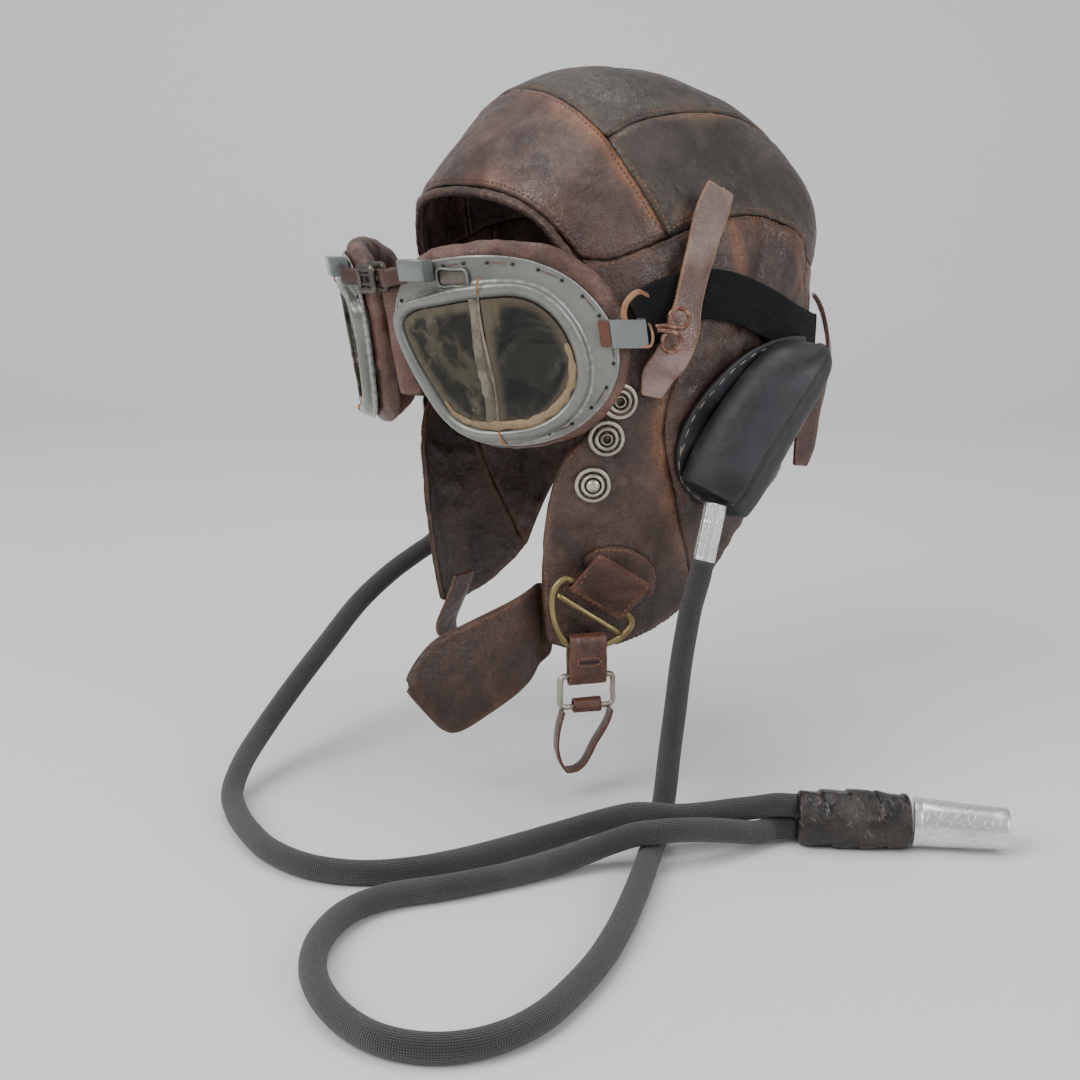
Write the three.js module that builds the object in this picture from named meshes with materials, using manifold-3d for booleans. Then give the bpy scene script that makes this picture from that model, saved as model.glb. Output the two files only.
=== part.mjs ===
import * as THREE from "three";
import { mergeVertices } from "three/addons/utils/BufferGeometryUtils.js";
import Module from "manifold-3d";

// A leather flying helmet with its goggles, telephone cups and speaking tubes, in millimetres.
// The crown's inner top is the origin, the face looks along -Y and the wearer's left is +X.

// Shell sizes
const leather = 2.5;
const seamGap = 0.45;
const restGap = 0.35;
const shellHalfWidth = 81.5;
const shellHalfLength = 91.5;
const shellDepth = 247.5;
const shellCorner = 2.25;
const bindingWidth = 3.6;

// Strap sizes
const strapLeather = 2.0;
const elasticWidth = 20;
const elasticThickness = 1.8;
const tabWidth = 15;
const hangingWidth = 20;
const narrowWidth = 7;
const wireDiameter = 1.9;

// Fitting sizes
const studRadius = 7.4;
const studHeight = 3;
const ringWire = 2.8;
const slideWire = 2.4;

// Telephone cup sizes
const cupFront = 30.5;
const cupRise = 22;
const flangeThickness = 2;
const tubeRadius = 4.8;
const tubeLength = 23.8;
const cupLean = 0.628;

// Speaking tube sizes
const hoseDiameter = 9.2;
const tapeRadius = 10.2;
const tapeLength = 43;
const connectorBack = 9.6;
const connectorFront = 7.8;
const connectorLength = 36;
const connectorWall = 1.6;
const connectorDepth = 20;

// Goggle sizes
const eyeWidth = 95;
const eyeHeight = 75;
const noseHalf = 12;
const noseReach = 13.5;
const noseForward = -(shellHalfLength + noseReach);
const eyeDrop = 116;
const eyeLean = 0.175;
const frontTurn = 0.349;
const sideTurn = 0.942;
const bendShare = 0.47;
const bendLength = 9;
const rimHeight = 6.2;
const rimWidth = 6.2;
const flangePlate = 1.6;
const lensThickness = 1.6;
const padDepth = 10;
const padWidth = 11;
const clampDepth = 8;

const radian = Math.PI / 180;
const north = new THREE.Vector3(0, 0, 1);

// Materials
function material(color, roughness, metalness) {
  return new THREE.MeshStandardMaterial({ color, roughness, metalness });
}
const brownLeather = material(0x5a3d33, 0.62, 0);
const wornLeather = material(0x8a6a5c, 0.6, 0);
const darkLeather = material(0x43261d, 0.5, 0);
const padLeather = material(0x845650, 0.55, 0);
const rubber = material(0x26262a, 0.55, 0);
const elastic = material(0x1d1d20, 0.85, 0);
const braid = material(0x36322f, 0.9, 0);
const tape = material(0x2e2421, 0.5, 0);
const aluminium = material(0xc9cacb, 0.28, 1);
const brass = material(0x9c8549, 0.4, 1);
const nickel = material(0xa59d8d, 0.4, 1);
const brownWire = material(0x6b4034, 0.45, 0.2);
const greyPaint = material(0x76807b, 0.45, 0.3);
const darkMetal = material(0x33302e, 0.5, 0.7);
const lensGlass = material(0xa59f86, 0.15, 0);

// The shell's sections: ring is the distance from the crown along the leather, the rest are shares
const shellSections = [
  { ring: 0.0, drop: 0.0, width: 0.0, length: 0.0, shift: 0.0 },
  { ring: 0.213, drop: 0.0182, width: 0.294, length: 0.284, shift: 0.044 },
  { ring: 0.294, drop: 0.0343, width: 0.405, length: 0.41, shift: 0.049 },
  { ring: 0.387, drop: 0.0586, width: 0.515, length: 0.544, shift: 0.079 },
  { ring: 0.485, drop: 0.0909, width: 0.632, length: 0.653, shift: 0.101 },
  { ring: 0.589, drop: 0.1313, width: 0.736, length: 0.765, shift: 0.115 },
  { ring: 0.697, drop: 0.1798, width: 0.834, length: 0.883, shift: 0.128 },
  { ring: 0.803, drop: 0.2323, width: 0.908, length: 0.97, shift: 0.145 },
  { ring: 0.915, drop: 0.2929, width: 0.957, length: 1.0, shift: 0.147 },
  { ring: 1.025, drop: 0.3535, width: 0.982, length: 0.973, shift: 0.115 },
  { ring: 1.225, drop: 0.4343, width: 1.0, length: 0.975, shift: 0.117 },
  { ring: 1.475, drop: 0.5354, width: 0.994, length: 0.965, shift: 0.107 },
  { ring: 1.725, drop: 0.6364, width: 0.969, length: 0.913, shift: 0.071 },
  { ring: 1.975, drop: 0.7374, width: 0.926, length: 0.874, shift: 0.044 },
  { ring: 2.225, drop: 0.8384, width: 0.859, length: 0.847, shift: 0.027 },
  { ring: 2.625, drop: 1.0, width: 0.736, length: 0.825, shift: 0.027 },
];

// Dents and folds: angle in degrees from the face, drop as a share of the depth, the rest as shares of
// the half width. turn leans the fold, depth is positive where the leather stands proud.
const shellFolds = [
  { angle: 110, drop: 0.318, along: 0.2, across: 0.13, turn: 20, depth: 0.05 },
  { angle: 102, drop: 0.335, along: 0.16, across: 0.06, turn: 12, depth: -0.04 },
  { angle: 95, drop: 0.32, along: 0.16, across: 0.05, turn: -10, depth: 0.025 },
  { angle: 50, drop: 0.22, along: 0.3, across: 0.12, turn: 55, depth: -0.02 },
  { angle: 20, drop: 0.15, along: 0.3, across: 0.14, turn: 80, depth: -0.015 },
  { angle: 88, drop: 0.19, along: 0.35, across: 0.14, turn: 70, depth: -0.018 },
  { angle: 130, drop: 0.23, along: 0.3, across: 0.12, turn: 15, depth: 0.02 },
  { angle: 146, drop: 0.17, along: 0.4, across: 0.32, turn: 0, depth: 0.024 },
  { angle: 60, drop: 0.78, along: 0.25, across: 0.1, turn: 35, depth: -0.02 },
  { angle: 48, drop: 0.7, along: 0.25, across: 0.08, turn: 0, depth: 0.02 },
  { angle: 150, drop: 0.62, along: 0.3, across: 0.1, turn: 10, depth: -0.03 },
  { angle: 180, drop: 0.66, along: 0.3, across: 0.1, turn: 0, depth: 0.03 },
];

// A smooth value between the rows of a table, read at one of its columns
function between(rows, place, key, at, flatStart = false) {
  let k = 0;
  while (k < rows.length - 2 && at > rows[k + 1][place]) k += 1;
  const slope = (i) => {
    const low = Math.max(i - 1, 0);
    const high = Math.min(i + 1, rows.length - 1);
    return (rows[high][key] - rows[low][key]) / (rows[high][place] - rows[low][place]);
  };
  const span = rows[k + 1][place] - rows[k][place];
  const t = (at - rows[k][place]) / span;
  const startSlope = flatStart && k === 0 ? 0 : slope(k);
  const a = (2 * t ** 3 - 3 * t ** 2 + 1) * rows[k][key] + (3 * t ** 2 - 2 * t ** 3) * rows[k + 1][key];
  const b = (t ** 3 - 2 * t ** 2 + t) * startSlope + (t ** 3 - t ** 2) * slope(k + 1);
  return a + b * span;
}

// The ring that lies at a given share of the shell's depth
function ringAt(drop) {
  let low = 0;
  let high = 2.9;
  for (let i = 0; i < 40; i += 1) {
    const middle = (low + high) / 2;
    if (between(shellSections, "ring", "drop", middle, true) < drop) low = middle;
    else high = middle;
  }
  return (low + high) / 2;
}

function signedPower(value) {
  return Math.sign(value) * Math.abs(value) ** (2 / shellCorner);
}

// The outer face of the smooth shell at an angle and a ring
function smoothShell(angle, ring) {
  const width = shellHalfWidth * between(shellSections, "ring", "width", ring);
  const length = shellHalfLength * between(shellSections, "ring", "length", ring);
  const shift = shellHalfLength * between(shellSections, "ring", "shift", ring, true);
  const drop = shellDepth * between(shellSections, "ring", "drop", ring, true);
  const x = width * signedPower(Math.sin(angle));
  const y = shift - length * signedPower(Math.cos(angle));
  return new THREE.Vector3(x, y, leather - drop);
}

function smoothNormal(angle, ring) {
  const step = 0.004;
  const u = ring * Math.sin(angle);
  const v = -ring * Math.cos(angle);
  const at = (du, dv) => smoothShell(Math.atan2(u + du, -(v + dv)), Math.hypot(u + du, v + dv));
  const across = at(step, 0).sub(at(-step, 0));
  const back = at(0, step).sub(at(0, -step));
  return across.cross(back).normalize();
}

function foldHeight(angle, ring) {
  const drop = between(shellSections, "ring", "drop", ring, true);
  const turned = Math.abs(Math.atan2(Math.sin(angle), Math.cos(angle)));
  let height = 0;
  for (const fold of shellFolds) {
    const sideways = (turned - fold.angle * radian) * shellHalfWidth;
    const down = (drop - fold.drop) * shellDepth;
    const cosine = Math.cos(fold.turn * radian);
    const sine = Math.sin(fold.turn * radian);
    const a = (down * cosine + sideways * sine) / (fold.along * shellHalfWidth);
    const b = (sideways * cosine - down * sine) / (fold.across * shellHalfWidth);
    height += fold.depth * shellHalfWidth * Math.exp(-a * a - b * b);
  }
  return height;
}

// A point on the leather, lifted off its outer face along the normal
function onRing(angle, ring, lift = 0) {
  const point = smoothShell(angle, ring);
  return point.addScaledVector(smoothNormal(angle, ring), foldHeight(angle, ring) + lift);
}

function onShell(degrees, drop, lift = 0) {
  return onRing(degrees * radian, ringAt(drop), lift);
}

function shellNormal(degrees, drop) {
  return smoothNormal(degrees * radian, ringAt(drop));
}

// Closed meshes from rows of points
function signedVolume(points, triangles) {
  const product = new THREE.Vector3();
  const cone = ([a, b, c]) => points[a].dot(product.crossVectors(points[b], points[c]));
  return triangles.reduce((sum, triangle) => sum + cone(triangle), 0);
}

function closedMesh(points, triangles) {
  const geometry = new THREE.BufferGeometry();
  const flat = points.flatMap((point) => [point.x, point.y, point.z]);
  geometry.setAttribute("position", new THREE.Float32BufferAttribute(flat, 3));
  const outward = signedVolume(points, triangles) > 0 ? triangles : triangles.map(([a, b, c]) => [a, c, b]);
  geometry.setIndex(outward.flat());
  return geometry;
}

// A solid through sections of equally many points; open ends get a fan, a closed loop has none
function loft(sections, closed = false) {
  const count = sections[0].length;
  const points = sections.flat().map((point) => point.clone());
  const triangles = [];
  const last = closed ? sections.length : sections.length - 1;
  for (let i = 0; i < last; i += 1) {
    const here = i * count;
    const next = ((i + 1) % sections.length) * count;
    for (let k = 0; k < count; k += 1) {
      const k2 = (k + 1) % count;
      triangles.push([here + k, next + k, next + k2], [here + k, next + k2, here + k2]);
    }
  }
  if (!closed) {
    for (const [start, flip] of [[0, false], [(sections.length - 1) * count, true]]) {
      const centre = new THREE.Vector3();
      for (let k = 0; k < count; k += 1) centre.addScaledVector(points[start + k], 1 / count);
      points.push(centre);
      for (let k = 0; k < count; k += 1) {
        const pair = [start + k, start + ((k + 1) % count)];
        if (flip) pair.reverse();
        triangles.push([points.length - 1, ...pair]);
      }
    }
  }
  return closedMesh(points, triangles);
}

// A wall between two grids of points, outer and inner. Its edges are split along the diagonal that
// lies deeper in the wall, so that neighbours with the same edge points never meet.
function wall(outer, inner) {
  const rows = outer.length;
  const columns = outer[0].length;
  const points = [...outer.flat(), ...inner.flat()];
  const at = (side, i, j) => side * rows * columns + i * columns + j;
  const faces = [];
  const edges = [];
  for (let i = 0; i < rows - 1; i += 1) {
    for (let j = 0; j < columns - 1; j += 1) {
      faces.push([at(0, i, j), at(0, i + 1, j), at(0, i + 1, j + 1), at(0, i, j + 1)]);
      faces.push([at(1, i, j), at(1, i, j + 1), at(1, i + 1, j + 1), at(1, i + 1, j)]);
    }
  }
  const right = columns - 1;
  const far = rows - 1;
  for (let i = 0; i < far; i += 1) {
    edges.push([at(0, i, 0), at(1, i, 0), at(1, i + 1, 0), at(0, i + 1, 0)]);
    edges.push([at(0, i, right), at(0, i + 1, right), at(1, i + 1, right), at(1, i, right)]);
  }
  for (let j = 0; j < right; j += 1) {
    edges.push([at(0, 0, j), at(0, 0, j + 1), at(1, 0, j + 1), at(1, 0, j)]);
    edges.push([at(0, far, j), at(1, far, j), at(1, far, j + 1), at(0, far, j + 1)]);
  }
  const split = ([a, b, c, d]) => [[a, b, c], [a, c, d]];
  const otherSplit = ([a, b, c, d]) => [[a, b, d], [b, c, d]];
  const faceTriangles = faces.flatMap(split);
  const outward = Math.sign(signedVolume(points, [...faceTriangles, ...edges.flatMap(split)]));
  const edgeTriangles = edges.flatMap((quad) => {
    const [a, b, c, d] = quad.map((k) => points[k]);
    const normal = c.clone().sub(a).cross(d.clone().sub(b)).multiplyScalar(outward);
    const rise = a.clone().add(c).sub(b).sub(d).dot(normal);
    return rise < 0 ? split(quad) : otherSplit(quad);
  });
  return closedMesh(points, [...faceTriangles, ...edgeTriangles]);
}

// The object's parts are added to one group; the wearer's right side mirrors the left
const helmet = new THREE.Group();

function add(name, geometry, finish) {
  const mesh = new THREE.Mesh(geometry, finish);
  mesh.name = name;
  helmet.add(mesh);
  return mesh;
}

function mirrored(geometry) {
  const copy = geometry.clone().scale(-1, 1, 1);
  const order = Array.from(copy.index.array);
  for (let i = 0; i < order.length; i += 3) [order[i + 1], order[i + 2]] = [order[i + 2], order[i + 1]];
  copy.setIndex(order);
  return copy;
}

function addPair(name, geometry, finish) {
  add(name + "_left", geometry, finish);
  add(name + "_right", mirrored(geometry), finish);
}

// Seams between the panels: degrees from the face and share of the depth, in so many equal steps
const flip = (rows) => rows.map(([angle, drop]) => [-angle, drop]).reverse();
const browHalf = [[0, 0.208], [17, 0.216], [28, 0.232], [37, 0.262], [43, 0.293], [48, 0.325]];
const crownHalf = [[0, 0.0485], [23, 0.0586], [42, 0.0869], [56, 0.137]];
const napeHalf = [[163, 0.366], [180, 0.368]];
const seamTable = {
  brow: { steps: 20, half: "after", rows: browHalf },
  crownFront: { steps: 10, half: "after", rows: crownHalf },
  crownSide: { steps: 5, rows: [[56, 0.137], [63, 0.192], [68, 0.244], [72, 0.293]] },
  strip: {
    steps: 10,
    rows: [[56, 0.137], [65, 0.112], [75, 0.098], [88, 0.093], [100, 0.088], [115, 0.09], [130, 0.105],
      [145, 0.15], [155, 0.22], [161, 0.3], [163, 0.366]],
  },
  temple: { steps: 5, rows: [[48, 0.325], [55, 0.33], [64, 0.312], [72, 0.293]] },
  earFront: { steps: 2, rows: [[72, 0.293], [76, 0.282], [80, 0.273]] },
  earTop: {
    steps: 8,
    rows: [[80, 0.273], [88, 0.2606], [95, 0.2566], [102, 0.2646], [110, 0.285], [117, 0.307], [122, 0.329]],
  },
  earBack: { steps: 5, rows: [[122, 0.329], [135, 0.35], [150, 0.362], [163, 0.366]] },
  nape: { steps: 10, half: "before", rows: napeHalf },
  face: {
    steps: 11,
    rows: [[48, 0.325], [53, 0.4], [55, 0.495], [54, 0.588], [48, 0.616], [42.5, 0.65], [39.5, 0.701],
      [38, 0.77], [38.5, 0.842], [39.5, 0.907], [42, 0.972]],
  },
  cheekBack: {
    steps: 11,
    rows: [[80, 0.273], [84, 0.34], [81, 0.426], [75, 0.515], [72, 0.56], [73, 0.62], [79, 0.705],
      [83, 0.77], [89, 0.85], [92, 0.918]],
  },
  neckSide: { steps: 11, rows: [[122, 0.329], [124, 0.45], [121, 0.6], [117, 0.68], [113, 0.745]] },
  cheekHem: {
    steps: 7,
    rows: [[42, 0.972], [52, 0.986], [62, 0.985], [73, 0.977], [83, 0.957], [92, 0.918]],
  },
  earHem: { steps: 8, rows: [[92, 0.918], [97, 0.871], [102, 0.826], [107, 0.785], [113, 0.745]] },
  neckHem: { steps: 20, half: "before", rows: [[113, 0.745], [130, 0.728], [150, 0.722], [180, 0.718]] },
};

// Seams are sampled once, so that the panels on both sides share their points
function chart(angle, ring) {
  return new THREE.Vector3(ring * Math.sin(angle), -ring * Math.cos(angle), 0);
}

function sampleSeam(rows, steps) {
  const polar = rows.map(([angle, drop]) => new THREE.Vector3(angle * radian, ringAt(drop), 0));
  const curve = new THREE.CatmullRomCurve3(polar, false, "chordal");
  const dense = curve.getPoints(steps * 6).map((point) => chart(point.x, point.y));
  const path = new THREE.CurvePath();
  for (let i = 0; i < dense.length - 1; i += 1) path.add(new THREE.LineCurve3(dense[i], dense[i + 1]));
  return Array.from({ length: steps + 1 }, (_, k) => path.getPointAt(k / steps));
}

const join = (...parts) => parts.reduce((route, part) => [...route.slice(0, -1), ...part]);
const mirrorLine = (route) => route.map((point) => new THREE.Vector3(-point.x, point.y, 0));
const backwards = (route) => [...route].reverse();

// A seam that crosses the middle is sampled on one side and mirrored to the other
const seams = {};
for (const [name, { steps, half, rows }] of Object.entries(seamTable)) {
  const sampled = sampleSeam(rows, half ? steps / 2 : steps);
  const other = backwards(mirrorLine(sampled));
  if (half === "after") seams[name] = join(other, sampled);
  else if (half === "before") seams[name] = join(sampled, other);
  else seams[name] = sampled;
}

// Moves the rim of a grid of points inwards by a distance, square to each stretch of the rim
function drawIn(grid, distance) {
  const m = grid.length - 1;
  const n = grid[0].length - 1;
  const loop = [];
  for (let i = 0; i < n; i += 1) loop.push([0, i]);
  for (let j = 0; j < m; j += 1) loop.push([j, n]);
  for (let i = n; i > 0; i -= 1) loop.push([m, i]);
  for (let j = m; j > 0; j -= 1) loop.push([j, 0]);
  const result = grid.map((row) => row.map((point) => point.clone()));
  loop.forEach(([j, i], k) => {
    const [jb, ib] = loop[(k + loop.length - 1) % loop.length];
    const [ja, ia] = loop[(k + 1) % loop.length];
    const here = grid[j][i];
    const across = grid[j][Math.min(i + 1, n)].clone().sub(grid[j][Math.max(i - 1, 0)]);
    const along = grid[Math.min(j + 1, m)][i].clone().sub(grid[Math.max(j - 1, 0)][i]);
    const normal = across.cross(along).normalize();
    const before = normal.clone().cross(here.clone().sub(grid[jb][ib])).normalize();
    const after = normal.clone().cross(grid[ja][ia].clone().sub(here)).normalize();
    const mitre = distance / Math.max(1 + before.dot(after), 0.5);
    result[j][i].add(before.add(after).multiplyScalar(mitre));
  });
  return result;
}

// A panel is a wall over the patch that its four sides bound, drawn in from them by half a seam gap
function panel(low, high, start, end) {
  const n = low.length - 1;
  const m = start.length - 1;
  const rows = [];
  for (let j = 0; j <= m; j += 1) {
    const t = j / m;
    const row = [];
    for (let i = 0; i <= n; i += 1) {
      const s = i / n;
      const point = new THREE.Vector3();
      point.addScaledVector(low[i], 1 - t).addScaledVector(high[i], t);
      point.addScaledVector(start[j], 1 - s).addScaledVector(end[j], s);
      point.addScaledVector(low[0], -(1 - s) * (1 - t)).addScaledVector(low[n], -s * (1 - t));
      point.addScaledVector(high[0], -(1 - s) * t).addScaledVector(high[n], -s * t);
      row.push(point);
    }
    rows.push(row);
  }
  const face = (lift) => {
    const grid = rows.map((row) => row.map((p) => onRing(Math.atan2(p.x, -p.y), Math.hypot(p.x, p.y), lift)));
    return drawIn(grid, seamGap / 2);
  };
  return wall(face(0), face(-leather));
}

add("front_panel", panel(
  seams.brow,
  join(backwards(mirrorLine(seams.crownSide)), seams.crownFront, seams.crownSide),
  mirrorLine(seams.temple),
  seams.temple,
), brownLeather);
add("crown_centre", panel(
  seams.crownFront,
  backwards(seams.nape),
  mirrorLine(seams.strip),
  seams.strip,
), brownLeather);
addPair("crown_side", panel(
  join(seams.earFront, seams.earTop),
  seams.strip,
  backwards(seams.crownSide),
  seams.earBack,
), brownLeather);
addPair("cheek", panel(
  join(seams.temple, seams.earFront),
  seams.cheekHem,
  seams.face,
  seams.cheekBack,
), brownLeather);
addPair("ear_panel", panel(seams.earTop, seams.earHem, seams.cheekBack, seams.neckSide), brownLeather);
add("neck_panel", panel(
  join(seams.earBack, seams.nape, backwards(mirrorLine(seams.earBack))),
  seams.neckHem,
  seams.neckSide,
  mirrorLine(seams.neckSide),
), brownLeather);

// Tubes, straps and patches
function tube(curve, radius, sides, steps) {
  const section = new THREE.Shape();
  for (let k = 0; k < sides; k += 1) {
    const turn = (2 * Math.PI * k) / sides;
    section[k ? "lineTo" : "moveTo"](radius * Math.cos(turn), radius * Math.sin(turn));
  }
  const extruded = new THREE.ExtrudeGeometry(section, { steps, extrudePath: curve, bevelEnabled: false });
  extruded.deleteAttribute("normal");
  extruded.deleteAttribute("uv");
  return mergeVertices(extruded, 1e-3);
}

const line = (points, closed = false) => new THREE.CatmullRomCurve3(points, closed, "centripetal");
const vector = (x, y, z) => new THREE.Vector3(x, y, z);

// A wire bent into a closed ring
function wireRing(curve, radius, sides, steps) {
  const frames = curve.computeFrenetFrames(steps, true);
  const sections = Array.from({ length: steps }, (_, k) => {
    const centre = curve.getPointAt(k / steps);
    return Array.from({ length: sides }, (_unused, i) => {
      const turn = (2 * Math.PI * i) / sides;
      const spoke = frames.normals[k].clone().multiplyScalar(Math.cos(turn) * radius);
      return centre.clone().add(spoke.addScaledVector(frames.binormals[k], Math.sin(turn) * radius));
    });
  });
  return loft(sections, true);
}

// A strap is a flat band through stations, each with its underside's centre, side and face directions
function band(stations, width, thickness, closed = false) {
  return loft(stations.map(({ centre, side, face, share = 1 }) => {
    const half = side.clone().multiplyScalar((width / 2) * share);
    const top = face.clone().multiplyScalar(thickness);
    const left = centre.clone().sub(half);
    const right = centre.clone().add(half);
    return [left, right, right.clone().add(top), left.clone().add(top)];
  }), closed);
}

// Stations along a route on the shell: degrees, drop as a share of the depth, lift off the leather
function layOnShell(rows, steps, shares = {}) {
  const route = line(rows.map(([angle, drop, lift]) => vector(angle / 100, drop, lift / 100)));
  const place = (t) => route.getPointAt(Math.min(Math.max(t, 0), 1));
  const at = (t) => onShell(place(t).x * 100, place(t).y, place(t).z * 100);
  return Array.from({ length: steps + 1 }, (_, k) => {
    const t = k / steps;
    const tangent = at(t + 0.01).sub(at(t - 0.01)).normalize();
    const side = tangent.clone().cross(shellNormal(place(t).x * 100, place(t).y)).normalize();
    const share = shares[k] ?? shares[k - steps - 1] ?? 1;
    return { centre: at(t), side, face: side.clone().cross(tangent), share };
  });
}

// The place on the shell that lies under a point, as degrees, share of the depth and lift
function placeUnder(point, degrees, drop) {
  let best = { miss: Infinity, place: [degrees, drop, 0] };
  for (let reach = 4; reach > 0.02; reach /= 2) {
    const [angle, share] = best.place;
    for (const turn of [-reach, 0, reach]) {
      for (const sink of [-reach, 0, reach]) {
        const foot = [angle + turn, share + sink / 100];
        const normal = shellNormal(...foot);
        const off = point.clone().sub(onShell(...foot));
        const lift = off.dot(normal);
        const miss = off.addScaledVector(normal, -lift).length();
        if (miss < best.miss) best = { miss, place: [...foot, lift] };
      }
    }
  }
  return best.place;
}

// A patch that follows the shell inside a closed outline
function patch(outline, lift, thickness, steps) {
  const curve = line(outline.map(([angle, drop]) => chart(angle * radian, ringAt(drop))), true);
  const rim = curve.getSpacedPoints(steps).slice(0, steps);
  const middle = rim.reduce((sum, point) => sum.addScaledVector(point, 1 / steps), vector(0, 0, 0));
  const lay = (share, height) => rim.map((point) => {
    const p = middle.clone().lerp(point, share);
    return onRing(Math.atan2(p.x, -p.y), Math.hypot(p.x, p.y), height);
  });
  const inner = [0.35, 0.7, 1].map((share) => lay(share, lift));
  const outer = [1, 0.7, 0.35].map((share) => lay(share, lift + thickness));
  return loft([...inner, ...outer]);
}

// Brow binding: a rolled edge just outside the brow and temple edges
const bindingRows = [...flip(browHalf), ...browHalf.slice(1)];
const bindingDrop = 0.0105;
const bindingPath = line(bindingRows.map(([angle, drop]) => {
  const below = Math.abs(angle) > 40 ? -1.4 : 0;
  return onShell(angle + Math.sign(angle) * below, drop + bindingDrop, -leather / 2);
}));
add("brow_binding", tube(bindingPath, bindingWidth / 2, 6, 30), brownLeather);

// Press studs on the cheeks
const studPlaces = [[59, 0.5515], [56, 0.612], [53, 0.689]];
const studProfile = [[0, 0], [1, 0], [0.97, 0.4], [0.72, 0.35], [0.58, 0.85], [0.25, 1], [0, 0.8]];
studPlaces.forEach(([angle, drop], index) => {
  const outline = studProfile.map(([r, h]) => new THREE.Vector2(r * studRadius, h * studHeight));
  const stud = new THREE.LatheGeometry(outline, 10);
  stud.deleteAttribute("normal");
  stud.deleteAttribute("uv");
  const upright = new THREE.Quaternion().setFromUnitVectors(vector(0, 1, 0), shellNormal(angle, drop));
  stud.applyQuaternion(upright);
  stud.translate(...onShell(angle, drop, restGap + 0.6));
  addPair("press_stud_" + (index + 1), mergeVertices(stud, 1e-3), nickel);
});

// Goggles: every piece of an eyepiece is laid out on a bent sheet, s along it, h up and d outwards
function sheetPath(s) {
  const bendStart = bendShare * eyeWidth - bendLength / 2;
  const bendEnd = bendStart + bendLength;
  const turnAt = (q) => THREE.MathUtils.lerp(
    frontTurn, sideTurn, THREE.MathUtils.clamp((q - bendStart) / (bendEnd - bendStart), 0, 1));
  const pieces = 60;
  const centre = vector(noseHalf, noseForward, 0);
  for (let k = 0; k < pieces; k += 1) {
    const turn = turnAt(((k + 0.5) * s) / pieces);
    centre.x += (Math.cos(turn) * s) / pieces;
    centre.y += (Math.sin(turn) * s) / pieces;
  }
  return { centre, turn: turnAt(s) };
}
function eyePoint(s, h, d) {
  const { centre, turn } = sheetPath(s);
  const forward = d * Math.cos(turn) + h * eyeLean;
  const up = h * Math.cos(Math.atan(eyeLean)) - eyeDrop + leather;
  return vector(centre.x + d * Math.sin(turn), centre.y - forward, up);
}
// Goggle clips: a folded plate over each frame's outer edge with a block that the elastic meets
const clipTabStart = 0.92 * eyeWidth;
const clipTabLeather = 1.5;
const clipStart = 0.966 * eyeWidth;
const clipEnd = 1.112 * eyeWidth;
const clipPlate = 1.6;
const clipBlock = 3;
const clipHeight = 11;
const clipLevel = 0.1 * eyeHeight;
const clipBack = -7.1;
const clipFront = 3.6;
const clipLap = 2.8;
const elasticDepth = clipBack - elasticThickness - restGap;

// The goggle strap goes round the back of the shell and passes under four retaining tabs
const elasticLift = restGap + 0.7;
const elasticStart = placeUnder(eyePoint(clipEnd - clipLap, clipLevel + 1.8, elasticDepth), 61, 0.4325);
const elasticHalf = [elasticStart, [63.5, 0.426, 5.1], [66.5, 0.41, 2], [71, 0.396, 1.05],
  [78, 0.386, elasticLift], [88, 0.388, elasticLift], [98, 0.416, elasticLift], [112, 0.45, elasticLift],
  [126, 0.468, elasticLift], [150, 0.475, elasticLift], [180, 0.477, elasticLift]];
const elasticOther = elasticHalf.slice(0, -1).map(([angle, drop, lift]) => [360 - angle, drop, lift]);
const elasticRoute = [...elasticHalf, ...elasticOther.reverse()];
add("goggle_strap", band(layOnShell(elasticRoute, 46), elasticWidth, elasticThickness), elastic);

const overElastic = elasticLift + elasticThickness + restGap + 0.3;
const tabRoute = [[85.5, 0.226, 6.5], [81, 0.275, 4.6], [79.5, 0.31, overElastic + 0.4],
  [78, 0.355, overElastic + 0.5], [75.5, 0.398, overElastic + 1.4], [73, 0.44, overElastic + 4.7],
  [70.3, 0.48, 9.2], [68.5, 0.511, 1.9], [67.5, 0.545, 1.1]];
const tabShares = { 0: 0.86, 3: 0.88, 4: 0.86, 5: 0.84, 6: 0.82, [-1]: 0.6, [-2]: 0.95 };
addPair("retaining_tab", band(layOnShell(tabRoute, 12, tabShares), tabWidth, strapLeather), wornLeather);
const rearRoute = [[139, 0.4, 0.45], [139, 0.425, overElastic + 0.6], [139, 0.465, 6.5], [139, 0.5, 8.5],
  [139, 0.543, 7], [139, 0.596, 6], [139, 0.6485, 7.5], [139, 0.7, 8.2]];
const rearTwist = 42 * radian;
const rearStations = layOnShell(rearRoute, 12, { [-1]: 0.6, [-2]: 0.95 }).map((station, k) => {
  const run = station.face.clone().cross(station.side);
  const twist = rearTwist * THREE.MathUtils.smoothstep(k, 3, 9);
  const turnBy = (direction) => direction.clone().applyAxisAngle(run, twist);
  return { ...station, side: turnBy(station.side), face: turnBy(station.face) };
});
addPair("rear_tab", band(rearStations, tabWidth, strapLeather), darkLeather);

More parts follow.
